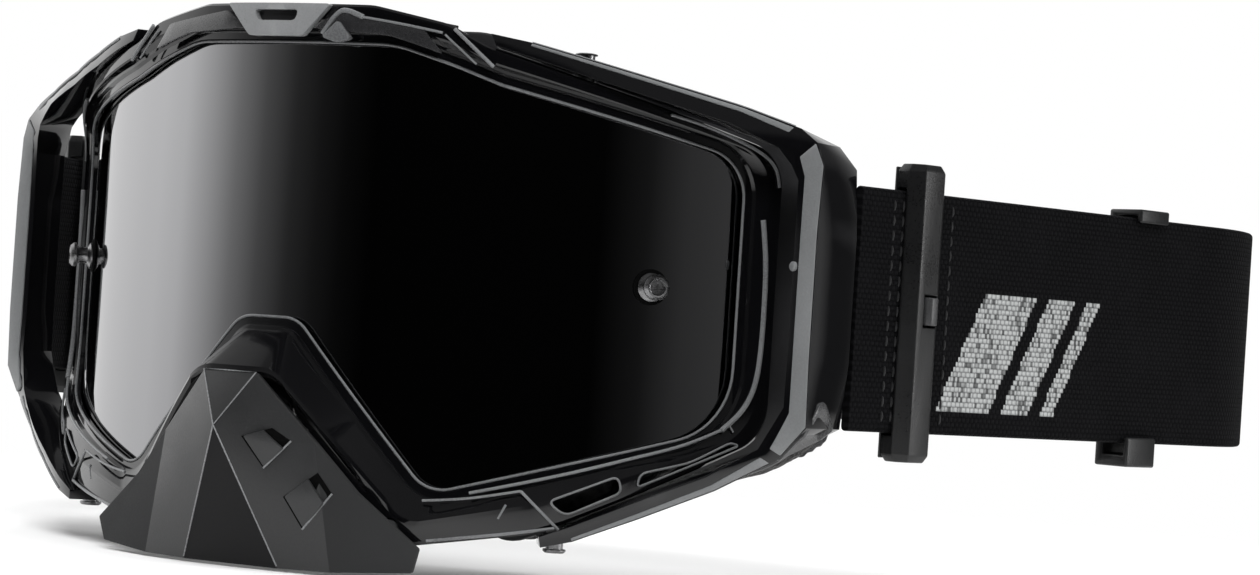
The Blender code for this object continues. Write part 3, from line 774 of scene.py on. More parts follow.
# Grained plastics: name, base, rubbed tone, roughness, grain, specular level
GRAINED = (
    ("matte_grey", (0.016, 0.016, 0.0165), (0.034, 0.035, 0.036), 0.38, 0.08, 0.4),
    # The keel row is a darker copy of the guard's grey: painted shade for the guard's lower middle.
    ("matte_grey_keel_shade", (0.005, 0.005, 0.0055), (0.014, 0.014, 0.0145), 0.55, 0.08, 0.15),
    ("matte_grey_flank", (0.016, 0.016, 0.0165), (0.034, 0.035, 0.036), 0.8, 0.08, 0.3),
    ("rail_grey", (0.125, 0.13, 0.132), (0.22, 0.225, 0.23), 0.48, 0.25, 0.5),
    # The pale grey row draws the beads that paint highlight lines along edges and seams, and colours the
    # brow tab.
    ("trim_and_highlight_grey", (0.085, 0.087, 0.09), (0.2, 0.205, 0.21), 0.3, 0.12, 0.5),
    ("plate_black", (0.016, 0.016, 0.017), (0.036, 0.036, 0.038), 0.24, 0.03, 1),
    # The near-black row paints the shadow inside the guard's slots, and colours the posts' rubber gaskets.
    ("shadow_and_gasket_black", (0.001, 0.001, 0.001), (0.003, 0.003, 0.003), 0.8, 0.35, 0.05),
    ("satin_grey", (0.2, 0.205, 0.21), (0.33, 0.335, 0.34), 0.36, 0.15, 0.5),
    ("clasp_grey", (0.004, 0.004, 0.0043), (0.018, 0.0185, 0.019), 0.34, 0.1, 0.35),
    ("latch_grey", (0.02, 0.02, 0.021), (0.07, 0.071, 0.073), 0.32, 0.1, 0.5),
)
GUARD, GUARD_KEEL_SHADE, GUARD_FLANK, RAIL, TRIM_AND_HIGHLIGHT, PLATE, SHADOW_AND_GASKET_BLACK, BROW, CLASP_PAINT, LATCH = (
    grained_plastic(*row) for row in GRAINED)
GLOSS = gloss_plastic()
LENS = lens_tint()
FLANGE = soft_flange()
FOAM = open_foam("foam_black", (0.006, 0.006, 0.006), (0.034, 0.032, 0.031), 900)
FACE_FOAM = open_foam("foam_face_black", (0.009, 0.009, 0.009), (0.045, 0.044, 0.043), 1300)
FILTER = open_foam("foam_filter", (0.004, 0.004, 0.004), (0.03, 0.03, 0.03), 620)
FLEECE = fleece()
STEEL = turned_steel()
STRAP_CLOTH = webbing("webbing", True)
PLAIN_CLOTH = webbing("webbing_plain", False)
THREAD = thread()


# ---- front

def make_frame():
    inner, outer, plan = outlines(FRAME_CORNERS, 10)
    outsides, crests, places = (spread([row[k] for row in FRAME_CORNERS], *plan) for k in (2, 3, 4))
    sections = []
    for a, b, (ns, nz), crest, at, outside in zip(inner, outer, outward(inner), crests, places, outsides):

        def away(distance, depth):
            return on_lens(a[0] + ns * distance, a[1] + nz * distance, depth)

        def across(t, depth):
            s, z = mix(a, b, t)
            return on_lens(s, z, depth)

        def wall_end(distance):
            point = away(distance, PLATE_BACK)
            point.y = (flange_y(point.x / MM) - GAP - SEAL_DEPTH) * MM
            return point

        sections.append((
            away(0, -GAP),
            away(0, LIP_DEPTH + 0.3),
            away(0.3, LIP_DEPTH),
            away(1.5, LIP_DEPTH - 0.1),
            away(1.9, LIP_DEPTH - 0.75),
            away(2.4, LIP_DEPTH - 0.9),
            across(at, crest + 0.2),
            across(at + 0.06, crest),
            across(at + 0.12, lerp(crest, outside, 0.25)),
            across(at + 0.18, outside),
            across(0.93, outside + 0.1),
            across(1, outside + 0.75),
            across(1, PLATE_BACK - 0.5),
            across(0.96, PLATE_BACK),
            away(WALL_OUTER, PLATE_BACK),
            wall_end(WALL_OUTER),
            wall_end(WALL_INNER),
            away(WALL_INNER, GROOVE_BACK),
            away(GROOVE_WIDTH, GROOVE_BACK),
            away(GROOVE_WIDTH, -GAP),
        ))
    shell = solid(loft(sections, closed=True), "frame_shell", [GLOSS])
    cutters = []
    for side, _ in SIDES:
        for window in VENT_WINDOWS:
            outline = softened([(side * s, z) for s, z in window], 1.6)
            cutters.append(solid(bent_slab(outline, -9, PLATE_BACK + 1), "window_cut", [GLOSS]))
        cutters.extend(pivot_bores(side, FRAME_BORES))
        peg_hole = along_y(bore(PEG_RADIUS + GAP, -12, 5), side * PEG[0], PEG[1])
        cutters.append(solid(peg_hole, "peg_cut", [GLOSS]))
    cut_away(shell, cutters)
    bake_modifiers(shell, 16)
    place(shell, "root", "gloss_black", "frame")
    for side, label in SIDES:
        for number, window in enumerate(VENT_WINDOWS, 1):
            outline = softened([(side * s, z) for s, z in window], 1.6, 5)
            path = [on_lens(s, z, WINDOW_RIM_DEPTH) for s, z in dense(outline, 2)]
            # Pale rims round the windows paint their edge highlights.
            piece(tube(path, 0.22, 10), f"window_rim_{number}_{label}", TRIM_AND_HIGHLIGHT, "root", "gloss_black")
        for name, *line in FRAME_LINES:
            raised_line(f"{name}_{label}", side, *line)
    # Pale bead round the aperture paints the lip's highlight line.
    rim = [on_lens(s, z, LIP_DEPTH + 0.1) for s, z in offset_loop(inner, -0.1)]
    piece(tube(rim, 0.26, 10), "lens_rim", TRIM_AND_HIGHLIGHT, "root", "gloss_black")
    make_brow_details()


# Raised pale lines, mirrored on the left, that paint highlight lines along seams, panels and the bezel:
# radius, depth, then points (s, z)
FRAME_LINES = (
    ("seam", 0.28, -3.9, ((49.9, -39), (57.1, -45.8))),
    ("panel_top", 0.24, -3.8, ((33, -41.9), (41, -40.9), (49.9, -39))),
    ("panel_low", 0.3, -4, ((34.2, -49), (45.5, -47.2), (56, -45.3))),
    ("slot_end", 0.22, -3.85, ((46.3, -44.2), (47.5, -41.6))),
    ("slot_start", 0.18, -3.85, ((36.9, -44.4), (37.2, -45.9))),
    ("corner_glint", 0.3, -3.45, (
        (72, 30.4), (78.5, 28.9), (85.6, 26.6), (90.2, 24.6), (92.8, 22.3), (93.8, 19),
    )),
    ("right_bead", 0.5, -3.25, (
        (91, 12.8), (92, 5.5), (92.3, -1.8), (92.2, -11), (91.4, -17.6), (89.2, -22.2), (85.4, -26),
    )),
    ("low_bead", 0.3, -3.1, (
        (85.4, -26), (78, -29.2), (68, -32.3), (58.5, -35.2), (50, -37.6), (41, -40),
    )),
    ("tick", 0.18, -3.4, ((86.4, -24.4), (87.6, -26.2))),
)


def smooth_path(points, steps=8):
    """Catmull-Rom curve through points, ends included."""
    padded = [points[0], *points, points[-1]]
    result = []
    for a, b, c, d in zip(padded, padded[1:], padded[2:], padded[3:]):
        for k in range(steps):
            t = k / steps
            result.append(tuple(
                0.5 * (2 * q + (r - p) * t + (2 * p - 5 * q + 4 * r - w) * t * t
                       + (3 * q - 3 * r + w - p) * t ** 3)
                for p, q, r, w in zip(a, b, c, d)))
    result.append(tuple(points[-1]))
    return result


# Pale bead on the surface: a painted highlight line.
def raised_line(name, side, radius, depth, points):
    path = [on_lens(side * s, z, depth) for s, z in smooth_path(points)]
    piece(tube(path, radius, closed=False), name, TRIM_AND_HIGHLIGHT, "root", "gloss_black")


def make_brow_details():
    """Raised plates across the brow, their seams as pale beads that paint highlight lines, and the tab by
    the clip.
    """
    half = [(11.8, 45.4), (27.4, 43.1), (31.4, 38.4), (27, 39.8), (21.5, 41.3), (7.2, 42.2)]
    for side, label in SIDES:
        plate = bent_slab([(side * s, z) for s, z in softened(half, 0.7, 3)], -4.25, -3.3)
        piece(plate, f"brow_plate_{label}", PLATE, "root", "gloss_black", bevel=(0.3,))
        raised_line(f"brow_seam_{label}", side, 0.34, -4, ((33.2, 43), (40.4, 36.6)))
        raised_line(f"brow_seam_inner_{label}", side, 0.2, -3.9, ((31.6, 41.9), (37.4, 36.9)))
    raised_line("brow_line", 1, 0.24, -4.3, ((16.7, 44.4), (23.4, 43.5), (31.2, 42.2)))
    raised_line("brow_gusset", 1, 0.5, -4.2, ((9, 41.2), (12.4, 45.4), (16.7, 44.4)))
    tab = bent_slab(softened([(9, 40.6), (12.1, 43.8), (14.8, 40.4), (11.9, 39.6)], 0.8), -4.9, -3.2, 1)
    piece(tab, "brow_tab", TRIM_AND_HIGHLIGHT, "root", "gloss_black", bevel=(0.4,))


def make_lens():
    """Lens with exact cylinder normals, so its reflections run smoothly."""
    outline = offset_loop(outlines(FRAME_CORNERS, 10)[0], LENS_MARGIN)
    lens = solid(bent_slab(outline, 0, LENS_THICKNESS, 2), "lens_shield", [LENS])
    holes = [on_post(bore(POST_HOLE_RADIUS, -4, 2, 32), side) for side, _ in SIDES]
    cut_away(lens, [solid(hole, "post_cut", [LENS]) for hole in holes])
    mesh = lens.data
    mesh.shade_smooth()
    normals = []
    for face in mesh.polygons:
        for index in face.vertices:
            out = lens_normal(mesh.vertices[index].co)
            facing = face.normal.dot(out)
            normals.append(face.normal if abs(facing) < 0.9 else out * (1 if facing > 0 else -1))
    mesh.normals_split_custom_set(normals)
    place(lens, "root", "lens_smoke", "lens")


def make_posts():
    post = [
        (1.5, -3.6), (1.5, 0.35), (2.4, 0.35), (2.6, 0.5), (2.6, 0.85), (2.4, 1), (1.7, 1.4), (1.6, 1.8),
        (1.6, 2.9), (1.8, 3.3), (2.25, 3.5), (2.4, 3.65), (2.4, 4.15), (2.25, 4.35), (1.85, 4.75),
        (1.55, 4.8), (1.3, 4.45), (0.5, 4.4),
    ]
    gasket = [(2.65, 0.03), (3.3, 0.03), (3.3, 0.25), (3.05, 0.5), (2.65, 0.5)]
    washer = [(1.85, -3.3), (3.4, -3.3), (3.6, -3.1), (3.6, -2.05), (3.4, -1.85), (1.85, -1.85)]
    for side, label in SIDES:
        for name, profile, material, slot, nodes in (
            ("post", post, STEEL, "steel", ["tear_off_post"]),
            ("washer", washer, GUARD, "matte_grey", ["post_washer"]),
            ("gasket", gasket, SHADOW_AND_GASKET_BLACK, "matte_grey", []),
        ):
            bm = on_post(turned(profile, closed=name != "post"), side)
            piece(bm, f"{name}_{label}", material, "root", slot, *(f"{node}_{label}" for node in nodes))


def make_brow_clip():
    """Satin trapezoid at the top centre, with a dark slot through it."""
    outline = softened([(-10.8, 46.6), (10.8, 46.6), (5.6, 40.6), (-5.6, 40.6)], 0.7, 3)
    clip = solid(bent_slab(outline, -5.5, -3.6 - GAP, 1.5), "brow_clip_body", [BROW])
    slot = softened([(-4.6, 45.4), (4.6, 45.4), (4, 43.4), (-4, 43.4)], 0.95, 5)
    cut_away(clip, [solid(bent_slab(slot, -8, -2), "slot_cut", [BROW])])
    bevelled(clip, 0.7, 3)
    place(clip, "root", "satin_grey", "brow_clip")
    liner = softened([(-4.9, 45.6), (4.9, 45.6), (4.3, 43.2), (-4.3, 43.2)], 0.95, 5)
    piece(bent_slab(liner, -4.2, -3.7, 1.5), "brow_clip_liner", GLOSS, "root", "gloss_black")


# Corners of the guard's slots on its right flank, deep edge first (x, y, z)
LOUVRES = (
    ((4.2, -14.6, -32.5), (9, -11.8, -30.7), (12.5, -10, -32.8), (7.7, -13.1, -38)),
    ((11.3, -11.4, -42.9), (17.6, -7.6, -38.1), (20.3, -6.3, -41.7), (15.1, -9.6, -48.5)),
)
LOUVRE_MOUTH = 0.74


def guard_mesh():
    bm = bmesh.new()
    for side, _ in SIDES:
        corners = {name: bm.verts.new(in_world(side * x, y, z)) for name, (x, y, z) in GUARD_POINTS.items()}
        for facet in GUARD_FACETS:
            bm.faces.new([corners[name] for name in facet[::side]])
    bmesh.ops.remove_doubles(bm, verts=bm.verts, dist=1e-6)
    bmesh.ops.recalc_face_normals(bm, faces=bm.faces)
    if sum(face.normal.y for face in bm.faces) > 0:
        bmesh.ops.reverse_faces(bm, faces=bm.faces)
    return bm


def louvre(corners, surface):
    """Scoop on the guard: a black sheet painting the shadow of the slot's opening, a ramp that rises over
    it, and its sill, a pale bead that paints a highlight line.
    """
    points = []
    for x, y, z in corners:
        hit, normal = surface.ray_cast(in_world(x, y - 20, z), Vector((0, 1, 0)))[:2]
        points.append((hit, normal if normal.y < 0 else -normal))
    (a, na), (b, nb), (c, nc), (d, nd) = points
    e, f = a.lerp(b, LOUVRE_MOUTH), d.lerp(c, LOUVRE_MOUTH)

    def lifted(*lifts):
        return [point + normal * lift * MM for point, normal, lift in lifts]

    # Black sheet laid on the surface where the slot's inside would be in shade: painted shadow.
    slot = [lifted(*((p, n, lift) for p, n in points)) for lift in (0.1, -0.6)]
    ramp = [
        lifted((a, na, 0.06), (e, nb, 0.95), (f, nc, 0.95), (d, nd, 0.06)),
        lifted((a, na, -0.5), (e, nb, -0.5), (f, nc, -0.5), (d, nd, -0.5)),
    ]
    # Pale bead along the sill paints its highlight line.
    sill = lifted((d, nd, 0.16), (c, nc, 0.16))
    return (
        ("slot", loft(slot), SHADOW_AND_GASKET_BLACK, ()),
        ("ramp", loft(ramp), GUARD, (0.18,)),
        ("sill", tube(sill, 0.2, closed=False), TRIM_AND_HIGHLIGHT, ()),
    )


def make_nose_guard():
    """Faceted guard with slotted flanks, on two pegs that pull straight out. Its lower middle is a darker
    copy of its grey as painted shade, its slots are black sheets of painted shadow, and pale beads on its
    ridges paint highlight lines.
    """
    guard = solid(guard_mesh(), "guard_shell", [GUARD, GUARD_KEEL_SHADE, GUARD_FLANK], 5)
    for face in guard.data.polygons:
        centre = face.center / MM
        # The lower middle faces take the darker copy of the grey: painted shade.
        if abs(centre.x) < KEEL_HALF_WIDTH and centre.z < KEEL_TOP:
            face.material_index = 1
        elif abs(centre.x) > FLANK_START:
            face.material_index = 2
    thickness = guard.modifiers.new("thickness", "SOLIDIFY")
    thickness.thickness = GUARD_THICKNESS * MM
    thickness.offset = -1
    thickness.use_even_offset = True
    bake_modifiers(guard)
    bevelled(guard, 0.3, 2, 9, 40)
    surface = BVHTree.FromObject(guard, bpy.context.evaluated_depsgraph_get())
    place(guard, "nose_guard", "matte_grey", "nose_guard")
    for number, corners in enumerate(LOUVRES, 1):
        for part, bm, material, bevel in louvre(corners, surface):
            piece(bm, f"louvre_{part}_{number}", material, "nose_guard", "matte_grey", bevel=bevel)
    for side, label in SIDES:
        top, corner, apex, foot = (
            in_world(side * GUARD_POINTS[name][0], *GUARD_POINTS[name][1:])
            for name in ("top", "top_corner", "apex", "keel_foot")
        )
        # Pale beads along the ridges paint their highlight lines.
        ridge = tube([top, corner, apex, foot.lerp(apex, 0.02)], 0.15, closed=False)
        piece(ridge, f"guard_ridge_{label}", TRIM_AND_HIGHLIGHT, "nose_guard", "matte_grey")
        peg = turned([(1, 3.6), (PEG_RADIUS, 3.2), (PEG_RADIUS, -3), (1, -3.2)], 24)
        piece(along_y(peg, side * PEG[0], PEG[1]), f"guard_peg_{label}", GUARD, "nose_guard", "matte_grey")


def make_vent_foams():
    strip = [(-19, 46.3), (19, 46.3), (19, 43.8), (-19, 43.8)]
    bm = slab(
        strip,
        lambda x, z: on_lens(x, z, PLATE_BACK + GAP),
        lambda x, z: in_world(x, flange_y(x) - 0.8, z),
    )
    piece(bm, "filter_top", FILTER, "root", "foam_black", "vent_foam_top")
    step = Vector((0, VENT_FOAM_DEPTH * MM, 0))
    for side, label in SIDES:
        bm = slab(
            [(side * s, z) for s, z in VENT_FOAM],
            lambda s, z: on_lens(s, z, PLATE_BACK + 2 * GAP),
            lambda s, z: on_lens(s, z, PLATE_BACK + 2 * GAP) + step,
        )
        piece(bm, f"filter_lower_{label}", FILTER, "root", "foam_black", f"vent_foam_lower_{label}")


# ---- face side

def flange_ring(shrink, *shape):
    """Mesh round the face opening, with a pad's rounded section."""
    inner, outer, _ = outlines(FLANGE_CORNERS, 8)
    return ring(offset_loop(inner, shrink), offset_loop(outer, -shrink), pad_section(*shape))


def pad_section(start, end, rounding, crown):
    """Function giving a pad's rounded section between two outline points."""
    def section(a, b):
        width, height = apart(a, b), end - start
        corner = min(rounding, 0.48 * height)
        far, top = width - corner, height - corner
        profile = []
        for cx, cy, first in ((corner, corner, 180), (far, corner, 270), (far, top, 0), (corner, top, 90)):
            angles = [radians(first + 30 * k) for k in range(4)]
            profile.extend((cx + corner * cos(angle), cy + corner * sin(angle)) for angle in angles)
            if first == 0:
                profile.extend((width * t, height + crown * (1 - (2 * t - 1) ** 2))
                               for t in (0.75, 0.5, 0.25))
        result = []
        for across, back in profile:
            x, z = mix(a, b, across / width)
            result.append(in_world(x, flange_y(x) + start + back, z))
        return result
    return section


def swollen(pad, voxel, reach):
    """Swell a pad, its bonded face held, by a short cloth simulation.

    No point moves more than reach.
    """
    even = pad.modifiers.new("even_mesh", "REMESH")
    even.mode, even.voxel_size = "VOXEL", voxel * MM
    bake_modifiers(pad)
    start = np.array([v.co for v in pad.data.vertices])
    bonded = pad.vertex_groups.new(name="bonded")
    bonded.add([v.index for v in pad.data.vertices if v.normal.y < -0.6], 1, "REPLACE")
    cloth = pad.modifiers.new("swell", "CLOTH").settings
    cloth.vertex_group_mass = "bonded"
    cloth.quality = 3
    cloth.use_pressure = True
    cloth.uniform_pressure_force = PAD_PRESSURE
    cloth.effector_weights.gravity = 0
    scene = bpy.context.scene
    for frame in range(1, PAD_FRAMES + 1):
        scene.frame_set(frame)
    bake_modifiers(pad)
    scene.frame_set(1)
    swell = np.array([v.co for v in pad.data.vertices]) - start
    length = np.linalg.norm(swell, axis=1, keepdims=True)
    swell *= np.minimum(1, reach * MM / np.maximum(length, 1e-9))
    normals = np.array([v.normal for v in pad.data.vertices])
    ripple = np.array([noise.noise(Vector(point) / (PAD_RIPPLE_SIZE * MM)) for point in start])
    shape = start + swell + normals * ripple[:, None] * PAD_RIPPLE * reach * MM
    pad.data.vertices.foreach_set("co", shape.ravel())
    smooth = pad.modifiers.new("even_out", "SMOOTH")
    smooth.factor, smooth.iterations = 0.5, 3
    pad.modifiers.new("finer", "SUBSURF").levels = 1
    bake_modifiers(pad)
    pad.vertex_groups.clear()


def make_face_side():
    flange = flange_ring(0, 0, FLANGE_THICKNESS, 0.7, 0)
    piece(flange, "face_flange_body", FLANGE, "root", "flange_black", "face_flange")
    looks = {
        "foam_base": (FOAM, 1.6, 0, 1.9, 0.45, "foam_black"),
        "foam_face": (FACE_FOAM, 1.8, 0, 1.6, 0.65, "foam_black"),
        "face_fleece": (FLEECE, 0.55, 0.5, 1.1, 0.9, "fleece_grey"),
    }
    for name, start, end, shrink in FOAM_LAYERS:
        paint, rounding, crown, voxel, reach, slot = looks[name]
        pad = solid(flange_ring(shrink, start, end, rounding, crown), f"{name}_pad", [paint], 180)
        swollen(pad, voxel, reach)
        place(pad, "root", slot, name)


# ---- outriggers

def finer_rows(rows):
    """Outrigger rows with more added between them, for the lens's curve."""
    result = []
    for row, following in zip(rows, rows[1:]):
        steps = max(1, round(apart(row[0], following[0]) / ARM_ROW_PITCH))
        for k in range(steps):
            result.append(tuple(mix(p, q, k / steps) for p, q in zip(row, following)))
    result.append(rows[-1])
    return result


def outrigger_section(side, row):
    """Four corners of the outrigger's section, the front ones first."""
    (si, zi, front_in), (so, zo, front_out), (step_s, step_depth) = row
    corners = (
        (si, zi, front_in),
        (so, zo, front_out),
        (so + step_s, zo, front_out + step_depth),
        (si + step_s, zi, front_in + step_depth),
    )
    return [on_lens(side * s, z, depth) for s, z, depth in corners]


# Strips on the arms' front faces: row, then how far across they start and end
ARM_STRIPS = (
    ("top_strip", 0.25, (
        (1, 0.74, 0.92), (2, 0.73, 0.92), (3, 0.72, 0.92), (4, 0.7, 0.92), (4.9, 0.68, 0.92),
    )),
    ("rail_strip", 0.3, (
        (6, 0.34, 0.95), (7, 0.26, 0.96), (8, 0.26, 0.96), (9, 0.26, 0.96), (10, 0.26, 0.96),
        (10.85, 0.42, 0.96),
    )),
    ("low_strip", 0.2, ((11.1, 0.44, 0.92), (12, 0.58, 0.92), (13, 0.66, 0.92), (14, 0.74, 0.92))),
)
# Smoked leaf below each rail: row, then how far back along the outer face
LEAF = ((9.62, 0.28), (9.58, 0.46), (9.9, 0.72), (10.3, 0.96), (10.8, 0.6), (11, 0.06), (10.3, 0.03))


def arm_section(side, index):
    """Four corners of the outrigger's section at a row that may be fractional."""
    low = min(int(index), len(OUTRIGGER_SECTIONS) - 2)
    row, following = OUTRIGGER_SECTIONS[low:low + 2]
    return outrigger_section(side, tuple(mix(p, q, index - low) for p, q in zip(row, following)))


def make_arm_strip(side, label, name, height, rows):
    fine = [mix(before, after, k / 6) for before, after in zip(rows, rows[1:]) for k in range(6)]
    sections = []
    for index, t_in, t_out in fine + [rows[-1]]:
        inner, outer, outer_back, _ = arm_section(side, index)
        across = (outer - inner).normalized()
        back = outer_back - outer
        up = -(back - across * back.dot(across)).normalized()
        a, b = inner.lerp(outer, t_in), inner.lerp(outer, t_out)
        sections.append([a - up * 0.4 * MM, a + up * height * MM, b + up * height * MM, b - up * 0.4 * MM])
    piece(loft(sections), f"{name}_{label}", RAIL, f"outrigger_{label}", "rail_grey", bevel=(0.15, 2, 40))


def make_arm_details(side, label):
    body = f"outrigger_{label}"
    for strip in ARM_STRIPS:
        make_arm_strip(side, label, *strip)
    # Pale bead along the arm's outer edge paints its highlight line.
    edge = []
    for k in range(25):
        outer, outer_back = arm_section(side, lerp(1, 4.9, k / 24))[1:3]
        edge.append(outer.lerp(outer_back, 0.03))
    piece(tube(edge, 0.2, closed=False), f"arm_line_{label}", TRIM_AND_HIGHLIGHT, body, "gloss_black")
    sections = []
    centre = (sum(row for row, _ in LEAF) / len(LEAF), sum(t for _, t in LEAF) / len(LEAF))
    for lift, grow in ((-0.3, 1), (0.35, 1), (0.55, 0.86)):
        section = []
        for corner in softened(LEAF, 0.09):
            row, t = mix(centre, corner, grow)
            inner, outer, outer_back, _ = arm_section(side, row)
            back = (outer_back - outer).normalized()
            out = (outer - inner) - back * (outer - inner).dot(back)
            section.append(outer.lerp(outer_back, t) + out.normalized() * lift * MM)
        sections.append(section)
    leaf = solid(loft(sections), f"arm_leaf_{label}", [LATCH], 50)
    place(leaf, body, "rail_grey")


def make_arm_stud():
    """Small round stud on the inner edge of the right arm."""
    inner, outer = arm_section(1, 8.25)[:2]
    stud = turned([(0.9, -0.2), (0.9, 0.25), (0.7, 0.45), (0.2, 0.5)], 20)
    turn = Vector((-0.5, -1, 0)).to_track_quat("Z", "Y").to_matrix()
    moved(stud, inner.lerp(outer, 0.02), turn)
    piece(stud, "arm_dot_right", RAIL, "outrigger_right", "rail_grey")


def make_outriggers():
    """Gloss arms whose front strips are matt grey."""
    rows = finer_rows(OUTRIGGER_SECTIONS)
    for side, label in SIDES:
        sections = [outrigger_section(side, row) for row in rows]
        arm = solid(loft(sections), f"outrigger_arm_{label}", [GLOSS], 20)
        cut_away(arm, pivot_bores(side, ARM_BORES))
        bevelled(arm, 0.45, 3, 28, 32)
        place(arm, f"outrigger_{label}", "rail_grey", f"outrigger_{label}")
        make_arm_details(side, label)
    make_arm_stud()


def make_pivot_pins():
    profiles = {
        "upper": [
            (1.3, 34.2), (1.6, 34.5), (1.6, 40.1), (2, 40.1), (2.1, 40.2), (2, 40.35), (1.4, 40.5),
            (0.5, 40.55),
        ],
        "lower": [
            (1.3, -43.2), (1.6, -43.5), (1.6, -49.2), (2, -49.2), (2.1, -49.3), (2.1, -49.6), (1.7, -49.9),
            (0.5, -49.9),
        ],
    }
    for side, label in SIDES:
        for level, profile in profiles.items():
            bm = moved(turned(profile, 28), in_world(side * PIVOT[0], PIVOT[1], 0))
            piece(bm, f"pin_{level}_{label}", STEEL, "root", "steel", f"pivot_pin_{level}_{label}")


# ---- strap

def strap_path():
    """Points down the middle of the strap, from the right clasp to the left."""
    half = [strap_point(1, lerp(0.5, STRAP_RUN, k / 30)).xy[:] for k in range(31)]
    end = strap_point(1, STRAP_RUN, -STRAP_CORNER, 0)
    steps = 36
    for i in range(1, steps + 1):
        angle = radians(lerp(-STRAP_SPLAY, 90, i / steps))
        half.append((end.x + STRAP_CORNER * MM * cos(angle), end.y + STRAP_CORNER * MM * sin(angle)))
    back = [(lerp(end.x, -end.x, k / 24), half[-1][1]) for k in range(1, 24)]
    return half + back + [(-x, y) for x, y in reversed(half)]


def ribbon(path, name, material, outer_side=1):
    """Band of webbing on edge along a path in plan, with rounded selvedges."""
    flat = STRAP_WIDTH / 2 - SELVEDGE
    half_thick = STRAP_THICKNESS / 2
    profile = []
    for face in (1, -1):
        profile.extend((face * half_thick, lerp(-1, 1, k / 12) * flat * face) for k in range(13))
        for a in map(radians, (30, 60, 90, 120, 150)):
            profile.append((face * half_thick * cos(a), face * (flat + SELVEDGE * sin(a))))
    lengths = [0]
    for before, after in zip(path, path[1:]):
        lengths.append(lengths[-1] + apart(before, after))
    sections = []
    weave = []
    for i, (x, y) in enumerate(path):
        x0, y0 = path[max(i - 1, 0)]
        x1, y1 = path[min(i + 1, len(path) - 1)]
        tx, ty = unit(x1 - x0, y1 - y0)
        from_end = min(lengths[i], lengths[-1] - lengths[i])
        section = []
        for n, height in profile:
            reach = n * MM * outer_side
            section.append(Vector((x + ty * reach, y - tx * reach, (STRAP_HEIGHT + height) * MM)))
            weave.append((from_end, height * MM, 1 if n > 0 else 0))
        sections.append(section)
    item = solid(loft(sections), name, [material], 50)
    attribute = item.data.attributes.new("weave", "FLOAT_VECTOR", "POINT")
    attribute.data.foreach_set("vector", np.array(weave, np.float32).ravel())
    return item


def side_path(side, u_start, u_end, n, steps=12):
    return [strap_point(side, lerp(u_start, u_end, k / steps), n, 0).xy[:] for k in range(steps + 1)]


def stitches(name, side, rows):
    """Rows of thread stitches across the webbing: one mesh of short capsules."""
    bm = bmesh.new()
    centre, along, out = strap_frame(side)
    up = Vector((0, 0, 1))
    circle_six = circle(0, 0, 1, 6)
    for u in rows:
        for k in range(STITCHES):
            z = lerp(-STITCH_SPAN, STITCH_SPAN, k / (STITCHES - 1))
            middle = centre + (along * u + out * STITCH_LIFT + up * z) * MM
            rings = []
            for t in (-0.95, -0.75, -0.3, 0.3, 0.75, 0.95):
                swell = 0.24 * (1 - t * t) ** 0.5 + 0.03
                ring_centre = middle + (up * t + out * 0.1 * (1 - t * t)) * MM
                rings.append([
                    bm.verts.new(ring_centre + (along * x + out * y) * swell * MM) for x, y in circle_six
                ])
            for low, high in zip(rings, rings[1:]):
                for (a, b), (c, d) in zip(pairs(low), pairs(high)):
                    bm.faces.new((a, b, d, c))
            bm.faces.new(rings[0])
            bm.faces.new(rings[-1][::-1])
    bmesh.ops.recalc_face_normals(bm, faces=bm.faces)
    return solid(bm, name, [THREAD], 60)


def make_strap():
    strap = ribbon(strap_path(), "strap_band", STRAP_CLOTH)
    place(strap, "root", "webbing", "strap")

    def bending(item, from_body, to_body, u_start, u_end, *nodes):
        start, end = (strap_point(side, u) for u in (u_start, u_end))
        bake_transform(item)
        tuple(start)
        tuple(end)
        if nodes:
            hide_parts(*nodes)

    for side, label in SIDES:
        tail_run = side_path(side, RETURN_START, SLIDER_PLACE, -RETURN_OFFSET)
        tail = ribbon(tail_run, f"strap_tail_{label}", PLAIN_CLOTH, side)
        bending(tail, "root", f"strap_slider_{label}", RETURN_START + 4, SLIDER_PLACE - 6,
                f"strap_return_{label}")
        link = ribbon(side_path(side, *LINK_RUN, 0), f"link_band_{label}", PLAIN_CLOTH, side)
        bending(link, f"outrigger_{label}", "root", *LINK_BEND, f"strap_link_{label}")
        seam = stitches(f"link_seam_{label}", side, (-9, -6.6))
        bending(seam, f"outrigger_{label}", "root", *LINK_BEND)
        place(stitches(f"strap_seam_{label}", side, (7,)), "root", "webbing")


